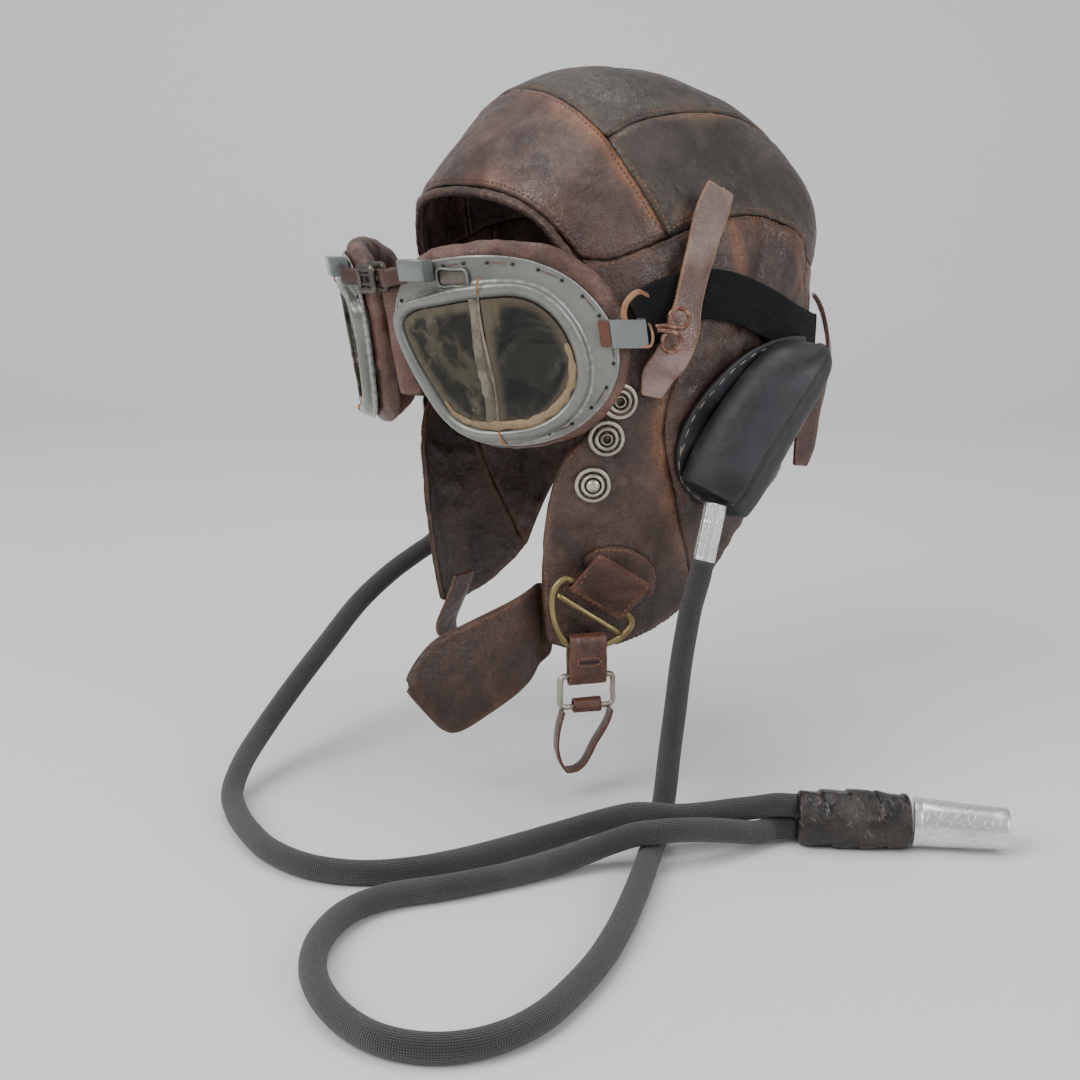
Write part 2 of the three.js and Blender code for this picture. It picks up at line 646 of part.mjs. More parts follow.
// The figure-eight hook that closes each retaining tab
const hookAcross = 4.4;
const hookAlong = 8.6;
const hookPlace = [71.5, 0.437];
const hookNormal = shellNormal(...hookPlace);
const hookDown = onShell(hookPlace[0] - 1.2, hookPlace[1] + 0.02).sub(onShell(...hookPlace)).normalize();
const hookSide = hookNormal.clone().cross(hookDown);
const hookRise = (wireDiameter + 0.4) / 2;
const tabArch = 5.3;
const hookLift = overElastic + strapLeather + tabArch + restGap + wireDiameter / 2 + hookRise;
const hookCentre = onShell(...hookPlace, hookLift);
const hookPoints = Array.from({ length: 16 }, (_, k) => {
  const turn = (2 * Math.PI * k) / 16;
  return hookCentre.clone()
    .addScaledVector(hookSide, hookAcross * Math.sin(2 * turn))
    .addScaledVector(hookDown, hookAlong * Math.cos(turn))
    .addScaledVector(hookNormal, hookRise * Math.sin(turn));
});
addPair("tab_hook", wireRing(line(hookPoints, true), wireDiameter / 2, 5, 20), brownWire);

// Cheek patch and the leather loop that holds the ring
const patchThickness = 1.2;
const patchLift = restGap + 0.15;
const patchOutline = [[52, 0.812], [60, 0.796], [70, 0.806], [77.5, 0.84], [79, 0.875], [74, 0.903],
  [66, 0.91], [58, 0.88]];
add("cheek_patch", patch(patchOutline, patchLift, patchThickness, 14), brownLeather);

// The ring's own plane: outwards from the cheek, sideways to the rear, and up
const ringOut = vector(0.93, -0.368, 0).normalize();
const ringSide = vector(0.368, 0.93, 0).normalize();
const ringBottom = onShell(55.75, 0.956, 9.75);
const ringPoint = ([side, up, out = 0]) => ringBottom.clone()
  .addScaledVector(ringSide, side).addScaledVector(north, up).addScaledVector(ringOut, out);
const barLeft = [-8.9, 29];
const barRight = [18.5, 11];
const bow = [[-13.2, 26], [-15, 19.5], [-13.8, 10.5], [-9.6, 2.6], [-4, -0.1], [2, -0.5], [9, 0.4],
  [15, 3], [19, 7.5]];
const barMiddle = [(barLeft[0] + barRight[0]) / 2, (barLeft[1] + barRight[1]) / 2];
const ringOutline = [barLeft, ...bow, barRight, [9.4, 17], barMiddle, [0.2, 23]];
const wasm = await Module();
wasm.setup();
function solid(geometry) {
  const merged = mergeVertices(geometry, 1e-3);
  return new wasm.Manifold(new wasm.Mesh({
    numProp: 3,
    vertProperties: merged.attributes.position.array,
    triVerts: new Uint32Array(merged.index.array),
  }));
}
function fromSolid(body) {
  const mesh = body.getMesh();
  const geometry = new THREE.BufferGeometry();
  geometry.setAttribute("position", new THREE.BufferAttribute(mesh.vertProperties, 3));
  geometry.setIndex(Array.from(mesh.triVerts));
  return geometry;
}
const crossbar = new THREE.LineCurve3(ringPoint([-12.9, 22.6]), ringPoint([14.6, 4.1]));
const ringWireBody = wireRing(line(ringOutline.map(ringPoint), true), ringWire / 2, 6, 22);
const crossbarBody = tube(crossbar, ringWire * 0.42, 6, 1);
add("d_ring", fromSolid(solid(ringWireBody).add(solid(crossbarBody))), brass);

// A hairpin of leather round a pin: a front layer, the turn and a back layer
function hairpin({ pin, run, face, side, inner, front, back, rise }) {
  const start = pin.clone().addScaledVector(run, front).addScaledVector(face, inner + rise);
  const stations = [{ centre: start, side, face }];
  const turns = 5;
  for (let k = 0; k <= turns; k += 1) {
    const turn = (Math.PI * k) / turns;
    const spoke = face.clone().multiplyScalar(Math.cos(turn)).addScaledVector(run, -Math.sin(turn));
    stations.push({ centre: pin.clone().addScaledVector(spoke, inner), side, face: spoke });
  }
  const under = face.clone().negate();
  const end = pin.clone().addScaledVector(run, back).addScaledVector(under, inner);
  stations.push({ centre: end, side, face: under });
  return stations;
}
const barSide = ringPoint(barRight).sub(ringPoint(barLeft)).normalize();
const loopFace = shellNormal(64, 0.86);
const loopRun = barSide.clone().cross(loopFace).normalize();
const loopSquare = loopRun.clone().cross(barSide).normalize();
const loopWidth = 27;
add("ring_loop", band(hairpin({
  pin: ringPoint(barMiddle),
  run: loopRun.z > 0 ? loopRun : loopRun.negate(),
  face: loopSquare.dot(loopFace) > 0 ? loopSquare : loopSquare.negate(),
  side: barSide,
  inner: ringWire / 2 + 0.45,
  front: 18,
  back: 1,
  rise: 3.2,
}), loopWidth, strapLeather * 0.8), darkLeather);

// The hanging strap is a flat loop over the ring's bow and round the slide's top bar
const strapTop = 1.6;
const strapFoldRadius = 2.3;
const slideTop = -13.2;
const slideHeight = 12.5;
const slideHalf = 10.8;
const hangingStations = [];
for (const [height, start] of [[strapTop, 0], [slideTop, Math.PI]]) {
  for (let k = 0; k <= 4; k += 1) {
    const turn = start + (Math.PI * k) / 4;
    const spoke = ringOut.clone().multiplyScalar(Math.cos(turn)).addScaledVector(north, Math.sin(turn));
    hangingStations.push({
      centre: ringPoint([0, height]).addScaledVector(spoke, strapFoldRadius),
      side: ringSide,
      face: spoke,
    });
  }
}
add("hanging_strap", band(hangingStations, hangingWidth - 4, strapLeather * 0.8, true), darkLeather);

const slideCorners = [[-slideHalf, slideTop], [0, slideTop], [slideHalf, slideTop],
  [slideHalf, slideTop - slideHeight], [0, slideTop - slideHeight], [-slideHalf, slideTop - slideHeight]];
add("strap_slide", wireRing(line(slideCorners.map(ringPoint), true), slideWire / 2, 6, 16), nickel);

// The narrow strap hangs as a loop below the slide and its leather keeper wraps the slide's low bar
const keeperStations = Array.from({ length: 8 }, (_, k) => {
  const turn = (Math.PI * k) / 4;
  const spoke = ringOut.clone().multiplyScalar(Math.cos(turn)).addScaledVector(north, Math.sin(turn));
  const centre = ringPoint([0, slideTop - slideHeight]).addScaledVector(spoke, slideWire / 2 + 0.8);
  return { centre, side: ringSide, face: spoke };
});
add("strap_keeper", band(keeperStations, 12, strapLeather * 0.8, true), darkLeather);
const lowBar = slideTop - slideHeight - slideWire / 2 - restGap - 0.4;
const narrowRoute = line([[-9.6, lowBar], [-11.6, lowBar - 8], [-12, lowBar - 18], [-8, lowBar - 26],
  [-2.5, lowBar - 24], [3, lowBar - 14], [8.5, lowBar - 5], [9.8, lowBar]].map(ringPoint));
const narrowSteps = 18;
const narrowStations = Array.from({ length: narrowSteps + 1 }, (_, k) => {
  const tangent = narrowRoute.getTangentAt(k / narrowSteps);
  const face = tangent.clone().cross(ringOut).normalize();
  return { centre: narrowRoute.getPointAt(k / narrowSteps), side: ringOut, face };
});
add("narrow_strap", band(narrowStations, narrowWidth, strapLeather * 0.7), darkLeather);

// The chin flap comes out from under the left cheek's front edge
const flapRows = [
  { forward: 51.5, inward: 43.2, top: -214, low: -244 },
  { forward: 56, inward: 39.4, top: -212.5, low: -248 },
  { forward: 61.5, inward: 43.2, top: -213.5, low: -253 },
  { forward: 71, inward: 45, top: -216.5, low: -258 },
  { forward: 84, inward: 44, top: -220.5, low: -264 },
  { forward: 97, inward: 43, top: -224.5, low: -269.8 },
  { forward: 104, inward: 42.5, top: -226.5, low: -269 },
  { forward: 110, inward: 42, top: -229, low: -262.5 },
  { forward: 117, inward: 41.6, top: -236, low: -253.5 },
  { forward: 121.5, inward: 41.4, top: -243, low: -248 },
];
const flapColumns = [0, 0.25, 0.5, 0.75, 1];
const flapThickness = 3;
const flapCup = 2.5;
const flapFace = (shift) => flapRows.map(({ forward, inward, top, low }) => flapColumns.map((share) => {
  const bulge = flapCup * Math.sin(Math.PI * share) * Math.min((forward - 52) / 20, 1);
  return vector(inward + bulge + shift, -forward, low + (top - low) * share);
}));
add("chin_flap", wall(flapFace(0), flapFace(-flapThickness)), brownLeather);

// The far side's chin strap hangs from under the right cheek
const farStrap = line([vector(-39.4, -43.4, -226), vector(-40.2, -47, -236), vector(-42.8, -49.5, -244.5),
  vector(-47, -49.5, -252), vector(-50, -45, -261)]);
const farSide = vector(-0.35, 0.94, 0).normalize();
add("chin_strap_right", band(Array.from({ length: 9 }, (_, k) => {
  const face = farSide.clone().cross(farStrap.getTangentAt(k / 8)).normalize();
  return { centre: farStrap.getPointAt(k / 8), side: farSide, face, share: k === 8 ? 0.6 : 1 };
}), tabWidth, strapLeather), darkLeather);

// Telephone cups: a flange sewn to the shell, a wedge-shaped cup on it and a metal tube below
const cupBase = vector(0, 6.5, -179);
const cupAlong = vector(0, Math.sin(cupLean), Math.cos(cupLean));
const cupAcross = vector(0, -Math.cos(cupLean), Math.sin(cupLean));
function sideSurface(y, z) {
  const drop = (leather - z) / shellDepth;
  const ring = ringAt(drop);
  const length = shellHalfLength * between(shellSections, "ring", "length", ring);
  const shift = shellHalfLength * between(shellSections, "ring", "shift", ring, true);
  const reach = Math.min(Math.abs(y - shift) / length, 0.98);
  const angle = Math.acos(Math.sign(shift - y) * reach ** (shellCorner / 2));
  return onRing(angle, ring).x;
}
function cupPoint(along, across, rise) {
  const foot = cupBase.clone().addScaledVector(cupAlong, along).addScaledVector(cupAcross, across);
  const underlay = elasticLift + elasticThickness + restGap;
  const lift = restGap + 0.2 + underlay * THREE.MathUtils.smoothstep(foot.z, -147, -125);
  return vector(sideSurface(foot.y, foot.z) + lift + rise, foot.y, foot.z);
}
const flangeOutline = [
  [-2, -7], [14, -11], [38, -12.5], [60, -12], [76, -8], [82, 0], [77.5, 9], [68.5, 20.1], [60.8, 27],
  [50, 33.5], [39.8, 36.8], [30, 38.3], [20, 37.8], [9.6, 34.4], [2, 29.5], [-4, 22], [-4.5, 8],
];
const flangeCurve = line(flangeOutline.map(([along, across]) => vector(along, across, 0)), true);
const flangeRim = flangeCurve.getSpacedPoints(20).slice(0, 20);
const flangeMiddle = vector(38, 11, 0);
const flangeRing = (share, rise) => flangeRim.map((point) => {
  const p = flangeMiddle.clone().lerp(point, share);
  return cupPoint(p.x, p.y, rise);
});
addPair("ear_flange", loft([
  flangeRing(0.3, 0), flangeRing(0.65, 0), flangeRing(1, 0),
  flangeRing(1, flangeThickness), flangeRing(0.65, flangeThickness), flangeRing(0.3, flangeThickness),
]), rubber);

// Cup stations along its length in millimetres: reach to the front and height as shares
const cupStations = [
  { at: -3, front: 0.8, rise: 0.93 },
  { at: 2, front: 0.86, rise: 1.0 },
  { at: 13, front: 0.94, rise: 1.0 },
  { at: 27, front: 1.0, rise: 1.0 },
  { at: 43, front: 0.99, rise: 1.0 },
  { at: 57, front: 0.86, rise: 1.0 },
  { at: 66, front: 0.69, rise: 0.97 },
  { at: 72, front: 0.46, rise: 0.92 },
  { at: 76, front: 0.26, rise: 0.75 },
];
// Across the cup from its front foot: over the sloping wall, the groove and the rolled rear rim
const cupProfile = [[1, 0], [1.01, 0.2], [0.93, 0.45], [0.78, 0.68], [0.6, 0.85], [0.46, 0.95], [0.39, 1],
  [0.32, 0.93], [0.25, 1], [0.06, 1], [-0.08, 0.9], [-0.16, 0.6], [-0.19, 0.25], [-0.19, 0], [0.15, 0],
  [0.45, 0], [0.75, 0]];
const cupSeat = flangeThickness + restGap + 0.4;
const crestHold = 0.35;
addPair("ear_cup", loft(cupStations.map(({ at, front, rise }) => cupProfile.map(([across, height]) => {
  const crest = THREE.MathUtils.smoothstep(height, 0.6, 1) * crestHold * (1 - front);
  const narrowed = THREE.MathUtils.smoothstep(across, 0, 0.35) * (1 - front - crest);
  return cupPoint(at, across * cupFront * (1 - narrowed), cupSeat + height * rise * cupRise);
}))), rubber);

const tubeTop = cupPoint(-5.31, 13.44, 17.16);
const tubeDown = vector(0, -0.243, -0.97).normalize();
const tubeEnd = tubeTop.clone().addScaledVector(tubeDown, tubeLength);
addPair("ear_tube", tube(new THREE.LineCurve3(tubeTop, tubeEnd), tubeRadius, 12, 1), aluminium);

// Speaking tubes: chosen points from each ear tube to the tape joint; they rest at this height
const ground = -302.5;
const lying = ground + hoseDiameter / 2 + 0.1;
const hoseStart = tubeEnd.clone().addScaledVector(tubeDown, restGap);
const jointTurn = 49.5 * radian;
const jointStart = vector(146.3, -8, ground + tapeRadius + 0.2);
const jointRun = vector(Math.cos(jointTurn), Math.sin(jointTurn), 0);
const hoseEnd = (up) => jointStart.clone().addScaledVector(jointRun, -restGap).addScaledVector(north, up);
const stacked = hoseDiameter / 2 + 0.2;
const beforeEnd = (up) => hoseEnd(up).addScaledVector(jointRun, -8);
const hoseLeft = [
  hoseStart, hoseStart.clone().addScaledVector(tubeDown, 7), vector(94, -19.6, -217),
  vector(94.4, -22.2, -227), vector(95.4, -25.6, -240), vector(98.2, -30.4, -257),
  vector(102, -36.2, -273), vector(106.8, -42.2, -286.8), vector(112.5, -49.3, -295.6),
  vector(121.5, -59.5, lying), vector(131.4, -70.2, lying), vector(152.7, -93.9, lying),
  vector(171.1, -116.1, lying), vector(184, -134.3, lying), vector(193.5, -151.2, lying),
  vector(200.3, -166.7, lying), vector(203, -180.9, lying), vector(201.7, -193.1, lying),
  vector(197.1, -203, lying), vector(189.2, -210.9, lying), vector(179.4, -215.8, lying),
  vector(165.8, -217.9, lying), vector(150.9, -216.7, lying), vector(136.5, -212.5, lying),
  vector(123.5, -205, lying), vector(113.2, -195, lying), vector(105.6, -182, lying),
  vector(104.1, -167.6, lying), vector(110, -145.7, lying), vector(115, -118, lying),
  vector(118, -98, -296.6), vector(122.5, -82, -292.6), vector(127.8, -74.3, -289.4),
  vector(132.3, -69.8, -288), vector(135.6, -62, -288), vector(138.4, -53, -289),
  vector(140, -43.5, -291), vector(141, -34, -293.6), vector(141.2, -24, -296.3),
  beforeEnd(-stacked), hoseEnd(-stacked),
];
const hoseRight = [
  vector(-hoseStart.x, hoseStart.y, hoseStart.z), vector(-93.4, -14.9, -205),
  vector(-92.4, -20.5, -213.5), vector(-89.5, -31, -221), vector(-85.5, -44.5, -225.5),
  vector(-80, -61, -231), vector(-72, -83, -241), vector(-62, -105, -254.5),
  vector(-52, -127, -268.5), vector(-41, -147, -281), vector(-29, -163.5, -290.5),
  vector(-14, -175, -296.3), vector(3, -180.5, lying), vector(22, -184, lying),
  vector(44, -185, lying), vector(66, -179, lying), vector(81.5, -166, lying),
  vector(90, -149, lying), vector(94, -128, lying), vector(95, -103, lying),
  vector(97.5, -84, -296.4), vector(104, -70, -293), vector(112, -62.5, -289.6),
  vector(119.5, -59, -287.9), vector(124.3, -54.5, -287.9), vector(126.8, -46, -288.8),
  vector(129, -37, -289.3), vector(132, -28.5, -289.1), vector(136.3, -20.6, -288.5),
  beforeEnd(stacked), hoseEnd(stacked),
];
add("hose_left", tube(line(hoseLeft), hoseDiameter / 2, 8, 48), braid);
add("hose_right", tube(line(hoseRight), hoseDiameter / 2, 8, 38), braid);

// The tape joint holds both tubes' ends, and the connector tapers away from it
const profile = (rows) => rows.map(([radius, along]) => new THREE.Vector2(radius, along));
function turned(rows, start, direction, sides) {
  const body = new THREE.LatheGeometry(profile(rows), sides);
  body.deleteAttribute("normal");
  body.deleteAttribute("uv");
  body.applyQuaternion(new THREE.Quaternion().setFromUnitVectors(vector(0, 1, 0), direction));
  body.translate(start.x, start.y, start.z);
  return mergeVertices(body, 1e-3);
}
const tapeProfile = [[0, 0], [0.97, 0], [1, 0.09], [0.96, 0.3], [1, 0.55], [0.98, 0.8], [1, 1], [0, 1]];
const tapeRows = tapeProfile.map(([radius, along]) => [radius * tapeRadius, along * tapeLength]);
add("tape_joint", turned(tapeRows, jointStart, jointRun, 12), tape);
const connectorStart = jointStart.clone().addScaledVector(jointRun, tapeLength + restGap + 0.8);
const connectorTurn = 45.5 * radian;
const connectorHeading = vector(Math.cos(connectorTurn), Math.sin(connectorTurn), -0.02);
const connectorTip = connectorStart.clone().addScaledVector(connectorHeading, connectorLength);
const connectorRun = connectorTip.clone().sub(connectorStart).normalize();
const connectorCollar = 3;
const connectorInside = connectorFront - connectorWall;
const connectorFloor = connectorLength - connectorDepth;
const connectorRows = [
  [0, 0],
  [connectorBack, 0],
  [connectorBack, connectorCollar],
  [connectorFront, connectorLength],
  [connectorInside, connectorLength],
  [connectorInside, connectorFloor],
  [0, connectorFloor],
];
add("tube_connector", turned(connectorRows, connectorStart, connectorRun, 14), aluminium);

// Goggle outlines as shares of the eyepiece's width and height
const frameOutline = [
  [0.0, 0.14], [0.06, 0.33], [0.14, 0.44], [0.3, 0.48], [0.46, 0.5], [0.64, 0.49], [0.8, 0.42],
  [0.91, 0.3], [0.98, 0.15], [1.0, 0], [0.97, -0.15], [0.89, -0.29], [0.76, -0.42], [0.6, -0.49],
  [0.44, -0.5], [0.3, -0.48], [0.19, -0.41], [0.1, -0.24], [0.03, -0.04],
];
const lensOutline = [
  [0.06, 0.14], [0.1, 0.19], [0.18, 0.215], [0.3, 0.24], [0.46, 0.275], [0.6, 0.295], [0.7, 0.25],
  [0.775, 0.13], [0.81, -0.04], [0.79, -0.18], [0.715, -0.3], [0.61, -0.375], [0.46, -0.405],
  [0.34, -0.4], [0.25, -0.345], [0.17, -0.2], [0.09, 0.0],
];
const outlineCurve = (rows) => line(rows.map(([s, h]) => vector(s * eyeWidth, h * eyeHeight, 0)), true);
const frameCurve = outlineCurve(frameOutline);
const lensCurve = outlineCurve(lensOutline);
const eyeSteps = 26;
const lensMiddle = vector(0.46 * eyeWidth, -0.05 * eyeHeight, 0);
const lensRim = lensCurve.getSpacedPoints(eyeSteps).slice(0, eyeSteps);
const frameRim = lensRim.map((point) => {
  const ray = point.clone().sub(lensMiddle);
  const heading = Math.atan2(ray.y, ray.x);
  let best = null;
  for (const candidate of frameCurve.getSpacedPoints(240)) {
    const off = candidate.clone().sub(lensMiddle);
    const miss = Math.abs(Math.atan2(Math.sin(Math.atan2(off.y, off.x) - heading),
      Math.cos(Math.atan2(off.y, off.x) - heading)));
    if (!best || miss < best.miss) best = { miss, candidate };
  }
  return best.candidate;
});
// The raised rim round the lens, outwards in: share of its width and of its height
const rimSection = [
  { share: 0, level: 0.27 },
  { share: 0.17, level: 0.9 },
  { share: 0.66, level: 1 },
  { share: 1, level: 0.72 },
];
addPair("goggle_frame", loft(frameRim.map((outer, k) => {
  const foot = Math.max(1 - rimWidth / outer.distanceTo(lensRim[k]), 0.06);
  const rim = rimSection.map(({ share, level }) => [foot + (1 - foot) * share, level * rimHeight]);
  return [[0, 0], [0, flangePlate], ...rim, [1, 0]].map(([share, height]) => {
    const p = outer.clone().lerp(lensRim[k], share);
    return eyePoint(p.x, p.y, height);
  });
}), true), greyPaint);

// Each eyepiece has a front pane and a side pane that meet at the bend
const paneGap = 0.35;
const bendAt = bendShare * eyeWidth;
function pane(keep, divide) {
  const inset = lensRim.map((point) => point.clone().lerp(lensMiddle, 0.014));
  const kept = inset.filter((point) => keep(point.x));
  const ends = inset.map((point, k) => [point, inset[(k + 1) % eyeSteps]])
    .filter(([a, b]) => keep(a.x) !== keep(b.x))
    .map(([a, b]) => a.clone().lerp(b, (divide - a.x) / (b.x - a.x)));
  const all = [...kept, ...ends];
  const middle = all.reduce((sum, point) => sum.addScaledVector(point, 1 / all.length), vector(0, 0, 0));
  const heading = (point) => Math.atan2(point.y - middle.y, point.x - middle.x);
  all.sort((a, b) => heading(a) - heading(b));
  const face = (depth) => all.map((point) => eyePoint(point.x, point.y, depth));
  return loft([face(2), face(2 + lensThickness)]);
}
addPair("lens_front", pane((s) => s < bendAt - paneGap / 2, bendAt - paneGap / 2), lensGlass);
addPair("lens_side", pane((s) => s > bendAt + paneGap / 2, bendAt + paneGap / 2), lensGlass);

// The face pads run round behind the frames; they stand out most above the outer end
const padSpread = [
  { heading: -180, extra: 0 },
  { heading: -80, extra: 0 },
  { heading: -35, extra: 2 },
  { heading: 0, extra: 2.5 },
  { heading: 38, extra: 7.5 },
  { heading: 90, extra: 3.5 },
  { heading: 138, extra: 3 },
  { heading: 158, extra: 0 },
  { heading: 180, extra: 0 },
];
const padInset = 3.2;
const padSteps = 24;
const padSides = 6;
const padRim = frameCurve.getSpacedPoints(padSteps).slice(0, padSteps);
const padMiddle = vector(0.5 * eyeWidth, 0, 0);
addPair("face_pad", loft(padRim.map((point) => {
  const out = point.clone().sub(padMiddle).normalize();
  const extra = Math.max(between(padSpread, "heading", "extra", Math.atan2(out.y, out.x) / radian), 0);
  return Array.from({ length: padSides }, (_, i) => {
    const turn = (2 * Math.PI * i) / padSides;
    const p = point.clone().addScaledVector(out, -padInset + extra / 2);
    p.addScaledVector(out, ((padWidth + extra) / 2) * Math.cos(turn));
    return eyePoint(p.x, p.y, -restGap - 0.15 - padDepth / 2 + (padDepth / 2) * Math.sin(turn));
  });
}), true), padLeather);

// Nose leather, the adjuster in the middle and the clamps on the frames
const noseHalfSpan = noseHalf - 3.8;
const noseColumns = [-1, -0.6, -0.2, 0.2, 0.6, 1];
const noseRows = [-0.28, -0.08, 0.12, 0.3];
const noseFace = (depth) => noseRows.map((h) => noseColumns.map((across) => vector(
  across * noseHalfSpan,
  noseForward + 3 + 5 * across * across - h * eyeHeight * eyeLean - depth,
  h * eyeHeight - eyeDrop + leather,
)));
add("nose_leather", wall(noseFace(0), noseFace(-strapLeather)), padLeather);

const adjusterHeight = 0.36 * eyeHeight;
const adjusterForward = noseForward - 1.2 - adjusterHeight * eyeLean;
const adjusterBox = new THREE.BoxGeometry(13, 8, 11);
adjusterBox.deleteAttribute("normal");
adjusterBox.deleteAttribute("uv");
adjusterBox.rotateX(Math.atan(eyeLean));
adjusterBox.translate(0, adjusterForward, adjusterHeight - eyeDrop + leather);
add("bridge_adjuster", mergeVertices(adjusterBox, 1e-3), darkMetal);

// A block on an eyepiece's sheet between two heights, from its stations along the sheet
function sheetBlock(stations, [low, high]) {
  return loft(stations.map(({ at, back, front }) => {
    const corners = [[low, back], [high, back], [high, front], [low, front]];
    return corners.map(([h, d]) => eyePoint(at, h, d));
  }));
}
const frameFront = flangePlate + restGap + 0.15;
const clampFront = frameFront + clampDepth;
const clampUp = [0.36 * eyeHeight, 0.475 * eyeHeight];
addPair("bridge_clamp", sheetBlock([
  { at: 0.14 * eyeWidth, back: frameFront, front: clampFront },
  { at: 0.27 * eyeWidth, back: frameFront, front: clampFront },
], clampUp), greyPaint);

// At the outer end a leather tab lies on the frame and the folded clip carries the strap
const tabFront = frameFront + clipTabLeather;
const tabUp = [clipLevel - clipHeight / 2 + 0.5, clipLevel + clipHeight / 2 - 0.5];
addPair("clip_tab", sheetBlock([
  { at: clipTabStart, back: frameFront, front: tabFront },
  { at: clipStart - restGap, back: frameFront, front: tabFront },
], tabUp), padLeather);
const clipUp = [clipLevel - clipHeight / 2, clipLevel + clipHeight / 2];
const clipFold = 0.4;
addPair("strap_clip", sheetBlock([
  { at: clipStart, back: clipFront - clipPlate, front: clipFront },
  { at: clipEnd - clipBlock - clipFold, back: clipFront - clipPlate, front: clipFront },
  { at: clipEnd - clipBlock, back: clipBack, front: clipFront },
  { at: clipEnd, back: clipBack, front: clipFront },
], clipUp), greyPaint);

export default helmet;
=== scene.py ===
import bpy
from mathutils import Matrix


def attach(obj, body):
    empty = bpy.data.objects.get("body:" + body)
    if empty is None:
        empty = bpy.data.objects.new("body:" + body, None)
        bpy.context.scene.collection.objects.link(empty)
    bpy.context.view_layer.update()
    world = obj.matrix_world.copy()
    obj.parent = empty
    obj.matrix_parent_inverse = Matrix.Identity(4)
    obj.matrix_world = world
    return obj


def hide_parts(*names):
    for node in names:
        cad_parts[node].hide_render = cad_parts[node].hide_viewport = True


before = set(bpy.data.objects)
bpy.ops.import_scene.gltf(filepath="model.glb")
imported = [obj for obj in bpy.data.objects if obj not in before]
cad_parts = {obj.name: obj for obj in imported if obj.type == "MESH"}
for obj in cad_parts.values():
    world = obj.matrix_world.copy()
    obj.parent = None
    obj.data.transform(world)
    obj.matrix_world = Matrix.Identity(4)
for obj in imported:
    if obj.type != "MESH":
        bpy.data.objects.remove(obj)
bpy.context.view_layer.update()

import math
import bpy
import bmesh
from mathutils import Vector, noise
from mathutils.bvhtree import BVHTree
from mathutils.kdtree import KDTree

MM = 0.001

# The stand: a plain pale floor that turns up into a backdrop well behind the
# helmet, a big soft light in front, weaker ones beside and above it, and a
# camera at the height of the cheek.
floor_z = -302.5 * MM
view_turn = math.radians(55.0)
view_dip = math.radians(12.4)
view_point = Vector((0.52391, -0.39528, -0.06419))
looking = Vector((-math.sin(view_turn) * math.cos(view_dip), math.cos(view_turn) * math.cos(view_dip),
                  -math.sin(view_dip)))


def added(name, data):
    """A new object in the scene for a mesh, a lamp or a camera."""
    thing = bpy.data.objects.new(name, data)
    bpy.context.scene.collection.objects.link(thing)
    return thing


def shown(name, body):
    """A new piece from a bmesh, which is used up."""
    mesh = bpy.data.meshes.new(name)
    body.to_mesh(mesh)
    body.free()
    return added(name, mesh)


camera = added("camera", bpy.data.cameras.new("camera"))
camera.data.lens = 48.33
camera.data.sensor_width = 36.0
camera.location = view_point
camera.rotation_euler = looking.to_track_quat("-Z", "Y").to_euler()
bpy.context.scene.camera = camera


class Wire:
    """A socket in a finish. Sums and products on it add Math nodes."""

    def __init__(self, finish, socket):
        self.finish = finish
        self.socket = socket

    def maths(self, operation, first, second):
        return self.finish.node("ShaderNodeMath", {"operation": operation}, {0: first, 1: second})

    def __add__(self, other):
        return self.maths("ADD", self, other)

    def __radd__(self, other):
        return self.maths("ADD", other, self)

    def __sub__(self, other):
        return self.maths("SUBTRACT", self, other)

    def __rsub__(self, other):
        return self.maths("SUBTRACT", other, self)

    def __mul__(self, other):
        return self.maths("MULTIPLY", self, other)

    def __rmul__(self, other):
        return self.maths("MULTIPLY", other, self)


